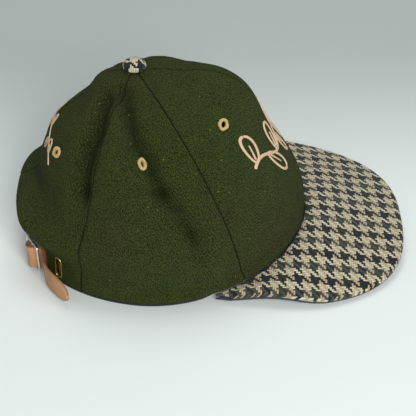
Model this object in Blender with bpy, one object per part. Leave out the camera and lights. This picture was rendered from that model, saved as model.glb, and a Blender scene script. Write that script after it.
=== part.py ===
"""Six-panel strapback cap: wool crown, checked cloth bill, leather strap with a three-bar slide.

Metres. +X points forward over the bill, +Y to the wearer's left, +Z up. The cap stands on
the bottom edge of its sweatband, and the origin is under the middle of the whole cap.
"""
import bpy
import bmesh
from math import atan2, cos, degrees, exp, hypot, pi, radians, sin
from mathutils import Matrix, Vector

# ---- crown -------------------------------------------------------------------------------
RIM_HALF_LENGTH = 0.1006
RIM_HALF_WIDTH = 0.0880
RIM_CENTRE_X = -0.0336
RIM_HEIGHT = 0.0010          # the wool stops this far above the sweatband's edge
FRONT_LIFT = 0.0190          # how much higher the rim runs over the forehead
FRONT_LIFT_REACH = 100.0     # degrees either side of the front
APEX_X = -0.0487
APEX_HEIGHT = 0.1327
APEX_HOLE_T = 0.972          # the panels end here and leave the hole for the button's post
WOOL = 0.0016
STIFFENER = 0.0007
STIFFENER_GAP = 0.0005
TAPE = 0.0005
TAPE_WIDTH = 0.0120
BAND = 0.0016
BAND_GAP = 0.0021            # the strap's sewn ends lie in here
BAND_TALL_T = 0.150
BAND_END = 141.0             # degrees from the front where the sweatband stops
PANEL_GAP = 0.0005
LAYER_GAP = 0.0003
TAPE_GAP = 0.0009            # room for facets of different pitch to lie over each other
FRONT_SEAM_RIM = 56.0        # degrees from the front, at the rim
FRONT_SEAM_TOP = 76.0
REAR_SEAM_RIM = 123.0
REAR_SEAM_TOP = 114.0
ARCH_HALF_ANGLE = 38.0       # half the rear opening, in degrees at the rim
ARCH_TOP_T = 0.225
ARCH_SQUARENESS = 0.6
FACING_WIDTH = 0.0060
FACING_GAP = 0.0007
FACING_EASE = 0.0014         # extra gap over the rolled top of the opening

# theta, t, height, spread in theta, spread in t: the soft swells of the unblocked crown
SWELLS = (
    (0.0, 0.68, 0.0085, 32.0, 0.17),      # ridge along the front seam
    (12.0, 0.36, -0.0050, 22.0, 0.14),
    (-175.0, 0.17, 0.0118, 42.0, 0.10),   # roll above the strap
    (-178.0, 0.37, -0.0035, 34.0, 0.08),  # hollow above the roll
    (165.0, 0.62, -0.0090, 42.0, 0.20),   # flat slope above the rear opening
    (90.0, 0.45, 0.0015, 50.0, 0.30),
    (-100.0, 0.30, 0.0015, 40.0, 0.25),
)
# points along each fold, depth, half width
FOLDS = (
    (((-125.0, 0.82), (-121.5, 0.70), (-123.0, 0.56), (-126.0, 0.42)), 0.0034, 0.0085),
    (((-109.0, 0.80), (-99.0, 0.69), (-92.0, 0.57), (-84.0, 0.45), (-78.0, 0.33)), 0.0048, 0.0090),
    (((-116.0, 0.78), (-114.0, 0.62), (-109.0, 0.50)), -0.0020, 0.0090),
)

# ---- bill --------------------------------------------------------------------------------
BILL_LENGTH = 0.0680
BILL_HALF_WIDTH = 0.0922
BILL_CORNER = 70.0           # degrees from the front where the bill meets the rim
BILL_DROP = 0.0090
BILL_ARCH = 0.0125
BILL_TWIST = 0.0035          # the wearer's left edge sits this much higher than the middle
BILL_SQUARENESS = 2.4
BILL_SKEW = 0.6              # the wearer's right corner is this much squarer
BILL_COVER = 0.0012
BILL_BOARD = 0.0020
BILL_LINING = 0.0008
BILL_LIP = 0.0018            # the cover wraps this far around the board's edge
BILL_CLEAR = 0.0006

# ---- button and eyelets ------------------------------------------------------------------
BUTTON_RADIUS = 0.0078
BUTTON_CLOTH = 0.0011
BUTTON_DOME = 0.0042
BUTTON_FLOOR = 0.0012        # the cloth's lower edge stands this far above the panels' tops
BUTTON_SIDE = 0.0010         # the upright wall below the dome
BUTTON_TUCK = 0.0030         # how far the cloth turns in underneath
DOME_STEPS = 12              # facets in half a turn of the dome
POST_RADIUS = 0.0018
POST_FOOT = -0.0075
WASHER_RADIUS = 0.0065
WASHER_LOW = -0.0052
WASHER_HIGH = -0.0046
EYELET_HOLE = 0.0014
EYELET_NECK = 0.0028
EYELET_FLANGE = 0.0043
EYELET_RISE = 0.0007
EYELET_CLEAR = 0.0010        # above and below the wool, which is not flat there
EYELETS = (                  # name, degrees from the front, t, true when a stiffener is behind
    ("front_right", -38.4, 0.587, True), ("front_left", 38.4, 0.587, True),
    ("side_right", -93.9, 0.532, False), ("side_left", 93.9, 0.532, False),
    ("rear_right", -147.6, 0.476, False), ("rear_left", 147.6, 0.476, False),
)

# ---- strap and slide ---------------------------------------------------------------------
STRAP_WIDTH = 0.0180
LEATHER = 0.0013
STRAP_Z = 0.0122
SLIDE_ANGLE = -151.0
SLIDE_OUT = 0.0018           # the centre bar stands this far outside the rim
SLIDE_HALF_LENGTH = 0.0080   # centre bar to end bar
SLIDE_HALF_HEIGHT = 0.0112
SLIDE_BAR = 0.0010
CENTRE_BAR = 0.0009
ANCHOR_ANGLE = 137.5         # both leather ends are sewn in here, under the wool
ANCHOR_CLEAR = 0.0012        # between the leather and the facing of the opening
ANCHOR_INSET = WOOL + FACING_GAP + TAPE + ANCHOR_CLEAR + LEATHER / 2
ANCHOR_EASE = 0.0005         # the leather leans in this much more than the wool does
ANCHOR_REACH = 3.5           # the tab lies flat against the wool over its last few degrees
TAIL_PIVOT = (0.00964, -0.00215)   # the tail's outer corner: along the strap, outward
SLOT_ANGLE = -134.0
SLOT_HALF_TALL = 0.0072
SLOT_HALF_WIDE = 0.0022
SLOT_Z = 0.0150
SLOT_WIRE = 0.0009

# ---- embroidery --------------------------------------------------------------------------
STITCH_RISE = 0.0006         # clears the facets of the panel below
STITCH_THICK = 0.0007
STEM_HALF = 0.0013
LEAF_SHARE = 0.24            # half a leaf's width as a share of its length
STITCH_PITCH = 0.0090        # facets no longer than this, so that they follow the crown


def smooth(low, high, value):
    """Ease from 0 at low to 1 at high."""
    share = min(max((value - low) / (high - low), 0.0), 1.0)
    return share * share * (3.0 - 2.0 * share)


def turned(degrees_away):
    """An angle difference brought into -180..180."""
    return (degrees_away + 180.0) % 360.0 - 180.0


def rim(angle, inset=0.0):
    """A point on the crown's bottom edge; the angle is in degrees from the front."""
    a = radians(angle)
    lift = FRONT_LIFT * (1.0 - smooth(0.0, FRONT_LIFT_REACH, abs(turned(angle))))
    x = RIM_CENTRE_X + (RIM_HALF_LENGTH - inset) * cos(a)
    return Vector((x, (RIM_HALF_WIDTH - inset) * sin(a), RIM_HEIGHT + lift))


def swell(angle, t):
    """How far the soft cloth stands out of or into the plain dome."""
    total = 0.0
    for a0, t0, height, spread_a, spread_t in SWELLS:
        near = (turned(angle - a0) / spread_a) ** 2 + ((t - t0) / spread_t) ** 2
        total += height * exp(-near)
    for line, depth, half in FOLDS:
        total -= depth * exp(-(fold_distance(angle, t, line) / half) ** 2)
    return total * smooth(0.09, 0.19, t) * (1.0 - smooth(0.86, 0.97, t))


def fold_distance(angle, t, line):
    """Distance in metres on the cloth from a place to a fold's line."""
    across = radians(1.0) * RIM_HALF_WIDTH * cos(pi * t / 2)
    along = (APEX_HEIGHT ** 2 + RIM_HALF_WIDTH ** 2) ** 0.5
    best = 1.0
    for (a0, t0), (a1, t1) in zip(line, line[1:]):
        px, py = turned(angle - a0) * across, (t - t0) * along
        qx, qy = (a1 - a0) * across, (t1 - t0) * along
        share = min(max((px * qx + py * qy) / (qx * qx + qy * qy), 0.0), 1.0)
        best = min(best, hypot(px - share * qx, py - share * qy))
    return best


def crown(angle, t, inset=0.0):
    """A point on the crown: t runs 0..1 from the rim to the top, inset goes inward."""
    base = rim(angle)
    h, v = cos(pi * t / 2), sin(pi * t / 2)
    a = radians(angle)
    out = Vector((h * cos(a), h * sin(a), v))
    x = APEX_X + (base.x - APEX_X) * h
    z = base.z + (APEX_HEIGHT - base.z) * v
    return Vector((x, base.y * h, z)) + out * (swell(angle, t) - inset)


def crown_normal(angle, t):
    """The outward direction of the cloth."""
    step = 0.004
    up = crown(angle, t + step) - crown(angle, t - step)
    side = crown(angle + 1.0, t) - crown(angle - 1.0, t)
    return side.cross(up).normalized()


# ---- mesh helpers ------------------------------------------------------------------------
def material(name, colour, roughness, metallic=0.0):
    mat = bpy.data.materials.new(name)
    mat.use_nodes = True
    shader = mat.node_tree.nodes["Principled BSDF"]
    shader.inputs["Base Color"].default_value = (*colour, 1.0)
    shader.inputs["Roughness"].default_value = roughness
    shader.inputs["Metallic"].default_value = metallic
    return mat


def add_object(name, bm, mat, origin=(0.0, 0.0, 0.0)):
    """Turn a bmesh in world positions into a named object with its origin on its joint."""
    bmesh.ops.recalc_face_normals(bm, faces=bm.faces)
    if bm.calc_volume(signed=True) < 0.0:
        bmesh.ops.reverse_faces(bm, faces=bm.faces)
    bmesh.ops.translate(bm, verts=bm.verts, vec=-Vector(origin))
    for face in bm.faces:
        face.smooth = True
    mesh = bpy.data.meshes.new(name)
    bm.to_mesh(mesh)
    bm.free()
    mesh.materials.append(mat)
    obj = bpy.data.objects.new(name, mesh)
    obj.location = origin
    bpy.context.scene.collection.objects.link(obj)
    return obj


def shell(grid):
    """Close a grid of (outer, inner) point pairs into one solid."""
    bm = bmesh.new()
    rows = [[(bm.verts.new(a), bm.verts.new(b)) for a, b in row] for row in grid]
    for r0, r1 in zip(rows, rows[1:]):
        for c in range(len(r0) - 1):
            bm.faces.new((r0[c][0], r0[c + 1][0], r1[c + 1][0], r1[c][0]))
            bm.faces.new((r0[c][1], r1[c][1], r1[c + 1][1], r0[c + 1][1]))
    edges = [rows[0], rows[-1], [r[0] for r in rows], [r[-1] for r in rows]]
    for line in edges:
        for p, q in zip(line, line[1:]):
            bm.faces.new((p[0], p[1], q[1], q[0]))
    return bm


def lathe(profile, frame, sides=12):
    """Turn a closed (radius, height) outline about the frame's Z axis."""
    bm = bmesh.new()
    rings = []
    for radius, height in profile:
        ring = []
        for k in range(sides):
            a = 2 * pi * k / sides
            ring.append(bm.verts.new(frame @ Vector((radius * cos(a), radius * sin(a), height))))
        rings.append(ring)
    for low, high in zip(rings, rings[1:] + rings[:1]):
        for k in range(sides):
            j = (k + 1) % sides
            bm.faces.new((low[k], low[j], high[j], high[k]))
    return bm


def solid_lathe(profile, frame, sides=16):
    """Turn an open outline that starts and ends on the axis."""
    bm = bmesh.new()
    first = bm.verts.new(frame @ Vector((0.0, 0.0, profile[0][1])))
    last = bm.verts.new(frame @ Vector((0.0, 0.0, profile[-1][1])))
    rings = []
    for radius, height in profile[1:-1]:
        ring = []
        for k in range(sides):
            a = 2 * pi * k / sides
            ring.append(bm.verts.new(frame @ Vector((radius * cos(a), radius * sin(a), height))))
        rings.append(ring)
    for k in range(sides):
        j = (k + 1) % sides
        bm.faces.new((first, rings[0][j], rings[0][k]))
        bm.faces.new((last, rings[-1][k], rings[-1][j]))
        for low, high in zip(rings, rings[1:]):
            bm.faces.new((low[k], low[j], high[j], high[k]))
    return bm


def frame_at(point, normal):
    """A frame whose Z axis is the given normal."""
    turn = normal.to_track_quat("Z", "Y").to_matrix().to_4x4()
    return Matrix.Translation(point) @ turn


def cut(obj, cutter):
    """Subtract the cutter from the object and discard it."""
    mod = obj.modifiers.new("cut", "BOOLEAN")
    mod.operation = "DIFFERENCE"
    mod.solver = "EXACT"
    mod.object = cutter
    bpy.context.view_layer.objects.active = obj
    bpy.ops.object.modifier_apply(modifier=mod.name)
    bpy.data.objects.remove(cutter, do_unlink=True)


# ---- crown pieces ------------------------------------------------------------------------
def front_seam(t):
    return FRONT_SEAM_RIM + (FRONT_SEAM_TOP - FRONT_SEAM_RIM) * t


def rear_seam(t):
    return REAR_SEAM_RIM + (REAR_SEAM_TOP - REAR_SEAM_RIM) * t


def gap_angle(t, gap):
    """The angle that a gap in metres takes up at height t."""
    return degrees(gap / (0.094 * max(cos(pi * t / 2), 0.04)))


def panel_rows(low, seam_a, seam_b, cols, rows, outer, inner, crowd=1.0):
    """Grid between two seams. low gives the bottom edge as a list of (share, t)."""
    top, gap = APEX_HOLE_T, PANEL_GAP / 2
    grid = []
    for r in range(rows + 1):
        v = r / rows
        line = []
        for c in range(cols + 1):
            share0, t0 = low[c]
            share = share0 + (c / cols - share0) * v
            t = t0 + (top - t0) * v ** crowd
            trim = gap_angle(t, gap)
            a, b = seam_a(t) + trim, seam_b(t) - trim
            angle = a + (b - a) * share
            line.append((crown(angle, t, outer), crown(angle, t, inner)))
        grid.append(line)
    return grid


def level_edge(cols):
    return [(c / cols, 0.0) for c in range(cols + 1)]


def arch_edge(cols, flat_cols, towards_back):
    """A rear panel's bottom edge: level to the opening, then up its side."""
    span = 180.0 - REAR_SEAM_RIM
    foot = 1.0 - ARCH_HALF_ANGLE / span
    edge = [(foot * c / flat_cols, 0.0) for c in range(flat_cols + 1)]
    steps = cols - flat_cols
    for k in range(1, steps + 1):
        a = (pi / 2) * k / steps
        rise = ARCH_TOP_T * sin(a) ** ARCH_SQUARENESS
        edge.append((foot + (1.0 - foot) * (1.0 - cos(a)), rise))
    if towards_back:
        return edge
    return [(1.0 - share, t) for share, t in reversed(edge)]


def build_panels(wool):
    front = ("front", lambda t: 0.0, front_seam, level_edge(9), 9, 13, 1.0)
    side = ("side", front_seam, rear_seam, level_edge(9), 9, 13, 1.0)
    rear = ("rear", rear_seam, lambda t: 180.0, arch_edge(11, 4, True), 11, 17, 1.3)
    made = {}
    for name, seam_a, seam_b, low, cols, rows, crowd in (front, side, rear):
        grid = panel_rows(low, seam_a, seam_b, cols, rows, 0.0, WOOL, crowd)
        made[name + "_left"] = add_object("panel_" + name + "_left", shell(grid), wool)
        flipped = [(1.0 - share, t) for share, t in reversed(low)]
        right_a = lambda t, s=seam_b: -s(t)
        right_b = lambda t, s=seam_a: -s(t)
        grid = panel_rows(flipped, right_a, right_b, cols, rows, 0.0, WOOL, crowd)
        made[name + "_right"] = add_object("panel_" + name + "_right", shell(grid), wool)
    return made


def build_stiffeners(buckram):
    outer = WOOL + STIFFENER_GAP
    inner = outer + STIFFENER
    made = {}
    for side, seam_a, seam_b in (("left", lambda t: 0.0, front_seam),
                                 ("right", lambda t: -front_seam(t), lambda t: 0.0)):
        grid = panel_rows(level_edge(9), seam_a, seam_b, 9, 13, outer, inner)
        made["front_" + side] = add_object("stiffener_" + side, shell(grid), buckram)
    return made


def build_tapes(mat):
    outer = WOOL + STIFFENER_GAP + STIFFENER + TAPE_GAP
    seams = (
        ("front", lambda t: 0.0, 0.0), ("back", lambda t: 180.0, ARCH_TOP_T + 0.055),
        ("front_side_left", front_seam, 0.0), ("front_side_right", lambda t: -front_seam(t), 0.0),
        ("rear_side_left", rear_seam, 0.0), ("rear_side_right", lambda t: -rear_seam(t), 0.0),
    )
    for name, seam, start in seams:
        grid = []
        rows = 14
        stop = 0.90 if name in ("front", "back") else 0.84
        for r in range(rows + 1):
            t = start + (stop - start) * r / rows
            half = gap_angle(t, TAPE_WIDTH / 2)
            line = []
            for c in range(3):
                angle = seam(t) + half * (c - 1)
                line.append((crown(angle, t, outer), crown(angle, t, outer + TAPE)))
            grid.append(line)
        add_object("seam_tape_" + name, shell(grid), mat)


def build_band(mat):
    """The sweatband: a strip standing inside the rim, open across the rear arch."""
    outer = WOOL + STIFFENER_GAP + STIFFENER + TAPE_GAP + TAPE + BAND_GAP
    inner = outer + BAND
    grid = []
    cols = 56
    for r in range(4):
        t = BAND_TALL_T * r / 3
        line = []
        for c in range(cols + 1):
            angle = -BAND_END + 2 * BAND_END * c / cols
            pair = [crown(angle, t, outer), crown(angle, t, inner)]
            if r == 0:
                for point in pair:
                    point.z -= RIM_HEIGHT
            line.append(tuple(pair))
        grid.append(line)
    add_object("sweatband", shell(grid), mat)


def build_arch_binding(mat):
    """The facing strip that finishes the rear opening from inside."""
    steps = 26
    grid = []
    for r in range(2):
        line = []
        grow = r * FACING_WIDTH
        for k in range(steps + 1):
            a = pi * k / steps
            wide = ARCH_HALF_ANGLE + 0.6 + gap_angle(0.1, grow)
            tall = ARCH_TOP_T + 0.004 + grow / 0.165
            angle = 180.0 - wide * cos(a)
            t = max(tall * max(sin(a), 0.0) ** ARCH_SQUARENESS, 0.004)
            outer = WOOL + FACING_GAP + FACING_EASE * max(sin(a), 0.0)
            line.append((crown(angle, t, outer), crown(angle, t, outer + TAPE)))
        grid.append(line)
    add_object("arch_facing", shell(grid), mat)


# ---- button ------------------------------------------------------------------------------
def dome_line(radius, rise, steps):
    """Places up the side of the button's dome, from its wall towards its top."""
    base = BUTTON_FLOOR + BUTTON_SIDE
    return [(radius * cos(k * pi / DOME_STEPS), base + rise * sin(k * pi / DOME_STEPS))
            for k in steps]


def build_button(cloth, metal):
    origin = Vector((APEX_X, 0.0, APEX_HEIGHT))
    frame = Matrix.Translation(origin)
    wide, skin = BUTTON_RADIUS, BUTTON_RADIUS - BUTTON_CLOTH
    dome = BUTTON_DOME - BUTTON_CLOTH
    wall = BUTTON_FLOOR + BUTTON_SIDE
    under = BUTTON_FLOOR + BUTTON_CLOTH
    cover = [(wide - BUTTON_TUCK, BUTTON_FLOOR), (wide - 0.0003, BUTTON_FLOOR), (wide, wall)]
    cover += dome_line(wide, BUTTON_DOME, range(1, 6))
    inside = [(0.0, wall + dome)] + dome_line(skin, dome, range(5, 0, -1))
    inside += [(skin, under), (wide - BUTTON_TUCK, under)]
    cup = [(0.0, wall + BUTTON_DOME)] + cover[::-1] + inside[::-1]
    add_object("button_cover", solid_lathe(cup, frame), cloth, origin)
    core, rise = skin - LAYER_GAP, dome - LAYER_GAP
    base = under + LAYER_GAP
    body = [(0.0, POST_FOOT), (POST_RADIUS, POST_FOOT), (POST_RADIUS, base), (core, base)]
    body += dome_line(core, rise, range(2, 6)) + [(0.0, wall + rise)]
    add_object("button_core", solid_lathe(body, frame), metal, origin)
    hole = POST_RADIUS + LAYER_GAP
    washer = [(hole, WASHER_LOW), (WASHER_RADIUS, WASHER_LOW), (WASHER_RADIUS, WASHER_HIGH),
              (hole, WASHER_HIGH)]
    add_object("button_washer", lathe(washer, frame), metal, origin)


# ---- eyelets -----------------------------------------------------------------------------
def build_eyelets(thread, panels, stiffeners):
    for name, angle, t, backed in EYELETS:
        point = crown(angle, t)
        frame = frame_at(point, crown_normal(angle, t))
        depth = WOOL + (STIFFENER_GAP + STIFFENER if backed else 0.0)
        neck_low = -depth - EYELET_CLEAR
        neck_high = EYELET_CLEAR
        outline = [
            (EYELET_HOLE, neck_low), (EYELET_HOLE + 0.0005, neck_low - EYELET_RISE),
            (EYELET_FLANGE - 0.0004, neck_low - EYELET_RISE), (EYELET_FLANGE, neck_low),
            (EYELET_NECK, neck_low), (EYELET_NECK, neck_high), (EYELET_FLANGE, neck_high),
            (EYELET_FLANGE - 0.0004, neck_high + EYELET_RISE),
            (EYELET_HOLE + 0.0005, neck_high + EYELET_RISE), (EYELET_HOLE, neck_high),
        ]
        add_object("eyelet_" + name, lathe(outline, frame), thread)
        targets = [panels[name]]
        if backed:
            targets.append(stiffeners[name])
        for target in targets:
            radius = EYELET_NECK + LAYER_GAP
            hole = [(0.0, -0.006), (radius, -0.006), (radius, 0.004), (0.0, 0.004)]
            cut(target, add_object("cutter", solid_lathe(hole, frame), thread))


# ---- bill --------------------------------------------------------------------------------
def bill(u, w, lift=0.0, out=0.0):
    """The middle face of the bill: u -1..1 across, w 0..1 from the crown to the edge."""
    inner = rim(u * BILL_CORNER, -BILL_CLEAR)
    a = u * pi / 2
    power = 2.0 / (BILL_SQUARENESS + (BILL_SKEW if u < 0.0 else 0.0))
    side = 1.0 if u >= 0 else -1.0
    x0 = rim(BILL_CORNER).x
    reach = RIM_CENTRE_X + RIM_HALF_LENGTH + BILL_LENGTH - x0
    corner = (BILL_HALF_WIDTH - abs(rim(BILL_CORNER, -BILL_CLEAR).y)) - 0.0012
    ox = x0 + reach * max(cos(a), 0.0) ** power
    oy = side * (BILL_HALF_WIDTH * abs(sin(a)) ** power - corner * smooth(0.72, 1.0, abs(u)))
    edge = Vector((ox - inner.x, oy - inner.y, 0.0))
    step = edge.normalized() * out
    x = inner.x + (ox - inner.x) * w + step.x
    y = inner.y + (oy - inner.y) * w + step.y
    forward = (x - (RIM_CENTRE_X + RIM_HALF_LENGTH)) / BILL_LENGTH
    share = y / BILL_HALF_WIDTH
    free = RIM_HEIGHT + FRONT_LIFT - BILL_DROP * forward
    free += -BILL_ARCH * share * share + BILL_TWIST * share
    hold = smooth(0.0, 0.55, w) * (1.0 - smooth(0.80, 1.0, abs(u)))
    z = inner.z * (1.0 - hold) + free * hold
    return Vector((x, y, z + lift))


def build_bill(cloth, board, lining):
    """Cover, board and lining, all from the same middle face."""
    half = BILL_BOARD / 2
    top = BILL_COVER + LAYER_GAP + half
    cols, rows = 24, 6
    us = [-1.0 + 2.0 * c / cols for c in range(cols + 1)]
    us = [0.985 * u for u in us]
    grids = {"cover": [], "board": [], "lining": []}
    for u in us:
        cover, core, under = [], [], []
        for r in range(rows + 1):
            w = r / rows
            cover.append((bill(u, w, top), bill(u, w, half + LAYER_GAP)))
            core.append((bill(u, w, half), bill(u, w, -half)))
            low = -half - LAYER_GAP
            under.append((bill(u, w, low), bill(u, w, low - BILL_LINING)))
        edge = BILL_LIP - BILL_COVER
        cover.append((bill(u, 1.0, top - 0.0006, BILL_LIP), bill(u, 1.0, half - 0.0002, edge)))
        cover.append((bill(u, 1.0, -half - LAYER_GAP - BILL_LINING, BILL_LIP),
                      bill(u, 1.0, -half - LAYER_GAP - BILL_LINING, edge)))
        grids["cover"].append(cover)
        grids["board"].append(core)
        grids["lining"].append(under)
    add_object("bill_cover", shell(grids["cover"]), cloth)
    add_object("bill_board", shell(grids["board"]), board)
    add_object("bill_lining", shell(grids["lining"]), lining)


# ---- embroidery --------------------------------------------------------------------------
def sprig_outline(stem, leaves):
    """Flat closed outlines of a stem and of its leaves, in metres."""
    shapes = []
    left, right = [], []
    for k, (x, y) in enumerate(stem):
        x0, y0 = stem[max(k - 1, 0)]
        x1, y1 = stem[min(k + 1, len(stem) - 1)]
        length = hypot(x1 - x0, y1 - y0)
        nx, ny = -(y1 - y0) / length, (x1 - x0) / length
        left.append((x + nx * STEM_HALF, y + ny * STEM_HALF))
        right.append((x - nx * STEM_HALF, y - ny * STEM_HALF))
    shapes.append(left + right[::-1])
    for x, y, direction, length in leaves:
        a = radians(direction)
        leaf = []
        for k in range(8):
            turn = 2 * pi * k / 8
            lx = length * (0.5 - 0.5 * cos(turn))
            ly = length * LEAF_SHARE * sin(turn)
            leaf.append((x + lx * cos(a) - ly * sin(a), y + lx * sin(a) + ly * cos(a)))
        shapes.append(leaf)
    return shapes


def flat_prism(outline, mat, low, high):
    bm = bmesh.new()
    bottom = [bm.verts.new((x, y, low)) for x, y in outline]
    top = [bm.verts.new((x, y, high)) for x, y in outline]
    bm.faces.new(bottom[::-1])
    bm.faces.new(top)
    for k in range(len(outline)):
        j = (k + 1) % len(outline)
        bm.faces.new((bottom[k], bottom[j], top[j], top[k]))
    return add_object("prism", bm, mat)


def raised_sprig(name, mat, shapes, place):
    """Join flat shapes, cut them into small facets and lay them on the crown."""
    base = flat_prism(shapes[0], mat, 0.0, 1.0)
    for outline in shapes[1:]:
        extra = flat_prism(outline, mat, 0.0, 1.0)
        mod = base.modifiers.new("join", "BOOLEAN")
        mod.operation = "UNION"
        mod.solver = "EXACT"
        mod.object = extra
        bpy.context.view_layer.objects.active = base
        bpy.ops.object.modifier_apply(modifier=mod.name)
        bpy.data.objects.remove(extra, do_unlink=True)
    bm = bmesh.new()
    bm.from_mesh(base.data)
    bpy.data.objects.remove(base, do_unlink=True)
    for axis in (0, 1):
        low = min(v.co[axis] for v in bm.verts)
        high = max(v.co[axis] for v in bm.verts)
        count = int((high - low) / STITCH_PITCH)
        for k in range(1, count + 1):
            at, side = Vector(), Vector()
            at[axis] = low + STITCH_PITCH * (k - 0.37)
            side[axis] = 1.0
            geom = bm.verts[:] + bm.edges[:] + bm.faces[:]
            bmesh.ops.bisect_plane(bm, geom=geom, plane_co=at, plane_no=side, dist=1e-6)
    bmesh.ops.remove_doubles(bm, verts=bm.verts, dist=2e-5)
    bmesh.ops.triangulate(bm, faces=[f for f in bm.faces if len(f.verts) > 4])
    for v in bm.verts:
        v.co = place(v.co.x, v.co.y, v.co.z)
    add_object(name, bm, mat)


def build_embroidery(thread):
    def front_place(x, y, h):
        t = 0.385 + y / 0.165
        return crown(gap_angle(t, x), t, -(STITCH_RISE + STITCH_THICK * h))

    def rear_place(x, y, h):
        t = 0.405 + y / 0.160
        return crown(180.0 - gap_angle(t, x), t, -(STITCH_RISE + STITCH_THICK * h))

    stem = [(-0.050 + 0.005 * k, 0.0035 * sin(k * 0.775)) for k in range(21)]
    leaves = [(-0.045 + 0.0128 * k, 0.0, 66.0 - 128.0 * (k % 2), 0.0195) for k in range(8)]
    leaves = [(x, 0.0035 * sin((x + 0.050) * 155.0), d, n) for x, y, d, n in leaves]
    raised_sprig("embroidery_front", thread, sprig_outline(stem, leaves), front_place)
    stem = [(-0.036 + 0.004 * k, 0.020 * (1.0 - ((k - 9) / 9.0) ** 2)) for k in range(19)]
    leaves = []
    for k in range(7):
        x = -0.030 + 0.009 * k
        leaves.append((x, 0.020 * (1.0 - (x / 0.036) ** 2), 62.0 - 122.0 * (k % 2), 0.0095))
    raised_sprig("embroidery_rear", thread, sprig_outline(stem, leaves), rear_place)


# ---- strap and slide ---------------------------------------------------------------------
def slide_frame():
    """Centre bar position and the directions along the strap and outward."""
    centre = rim(SLIDE_ANGLE)
    a = radians(SLIDE_ANGLE)
    along = Vector((-RIM_HALF_LENGTH * sin(a), RIM_HALF_WIDTH * cos(a), 0.0)).normalized()
    out = Vector((along.y, -along.x, 0.0))
    centre += out * SLIDE_OUT
    centre.z = STRAP_Z
    return centre, along, out


def slide_point(s, n):
    centre, along, out = slide_frame()
    return centre + along * s + out * n


def strip(points, thick=LEATHER, low=STRAP_Z - STRAP_WIDTH / 2, high=STRAP_Z + STRAP_WIDTH / 2,
          round_end=False, leans=None):
    """A leather strip on edge along plan points; leans tip its top edge towards the crown."""
    grid = []
    count = len(points)
    for k, p in enumerate(points):
        before, after = points[max(k - 1, 0)], points[min(k + 1, count - 1)]
        run = Vector((after.x - before.x, after.y - before.y, 0.0)).normalized()
        side = Vector((run.y, -run.x, 0.0)) * (thick / 2)
        bottom, top = low, high
        if round_end and k >= count - 4:
            left = (count - 1 - k) / 4.0
            trim = (high - low) / 2 * (1.0 - (1.0 - (1.0 - left) ** 2) ** 0.5) * 0.95
            bottom, top = low + trim, high - trim
        lean = leans[k] if leans else 0.0
        inward = Vector((RIM_CENTRE_X - p.x, -p.y, 0.0)).normalized() * lean
        line = []
        for share in (0.0, 0.5, 1.0):
            middle = Vector((p.x, p.y, bottom + (top - bottom) * share)) + inward * share
            line.append((middle + side, middle - side))
        grid.append(line)
    return shell(grid)


def curve_points(knots, per_span):
    """A smooth line through plan points."""
    line = []
    count = len(knots)
    for k in range(count - 1):
        p0, p1 = knots[max(k - 1, 0)], knots[k]
        p2, p3 = knots[k + 1], knots[min(k + 2, count - 1)]
        for step in range(per_span):
            u = step / per_span
            line.append(0.5 * (2 * p1 + (p2 - p0) * u + (2 * p0 - 5 * p1 + 4 * p2 - p3) * u * u
                               + (3 * p1 - p0 - 3 * p2 + p3) * u * u * u))
    line.append(knots[-1])
    return line


def anchor_lean():
    """How far the leather's top edge leans in with the wool where it is sewn."""
    base = rim(ANCHOR_ANGLE)
    rise = (STRAP_Z + STRAP_WIDTH / 2 - base.z) / (APEX_HEIGHT - base.z)
    return hypot(base.x - APEX_X, base.y) * (1.0 - (1.0 - rise * rise) ** 0.5) + ANCHOR_EASE


def build_strap(leather):
    """Long strap, its bend over the centre bar, its free tail, and the short tab."""
    loop = [(-11.5, -2.8), (-8.0, -2.8), (-5.2, -1.1), (-2.9, 2.3), (0.0, 3.6), (2.9, 2.3),
            (5.2, -1.1), (7.6, -2.7), (9.5, -2.9)]
    knots = [slide_point(s * 0.001, n * 0.001) for s, n in loop]
    centre, along, out = slide_frame()
    add_object("strap_loop", strip(curve_points(knots, 2)), leather, centre)
    start = slide_point(-0.0118, -0.0028)
    knots = [start]
    away = degrees(atan2((start.y) / RIM_HALF_WIDTH, (start.x - RIM_CENTRE_X) / RIM_HALF_LENGTH))
    sweep = (360.0 + away) - ANCHOR_ANGLE
    near_inset = 0.0010
    lean = anchor_lean()
    leans = [0.0]
    steps = 16
    for k in range(1, steps + 1):
        angle = away - sweep * k / steps
        inset = near_inset + (ANCHOR_INSET - near_inset) * smooth(0.45, 0.82, k / steps)
        leans.append(lean * smooth(0.45, 0.82, k / steps))
        knots.append(rim(angle, inset))
    add_object("strap_span", strip(knots, leans=leans), leather)
    pivot = slide_point(*TAIL_PIVOT)
    tail = [(9.9, -2.8), (14.0, -1.0), (20.0, 0.8), (28.0, 1.4), (38.0, 0.2), (50.0, -2.6)]
    knots = [slide_point(s * 0.001, n * 0.001) for s, n in tail]
    add_object("strap_tail", strip(curve_points(knots, 2), round_end=True), leather, pivot)
    hook = [(0.6, -1.95), (-1.1, -1.6), (-1.95, 0.0), (-1.35, 1.4), (0.0, 1.95), (1.45, 1.35),
            (2.3, 0.0), (3.6, -2.0), (6.0, -4.1), (9.0, -5.0), (12.0, -6.0)]
    knots = [slide_point(s * 0.001, n * 0.001) for s, n in hook]
    end = rim(-ANCHOR_ANGLE, ANCHOR_INSET)
    mid = rim(-ANCHOR_ANGLE - ANCHOR_REACH, ANCHOR_INSET)
    line = curve_points(knots, 2) + [mid, end]
    leans = [0.0] * (len(line) - 4) + [0.3 * lean, 0.6 * lean, lean, lean]
    add_object("strap_tab", strip(line, leans=leans), leather)


def round_bar(start, end, radius, sides=8):
    axis = (end - start).normalized()
    length = (end - start).length
    outline = [(0.0, 0.0), (radius, 0.0), (radius, length), (0.0, length)]
    return solid_lathe(outline, frame_at(start, axis), sides)


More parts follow.
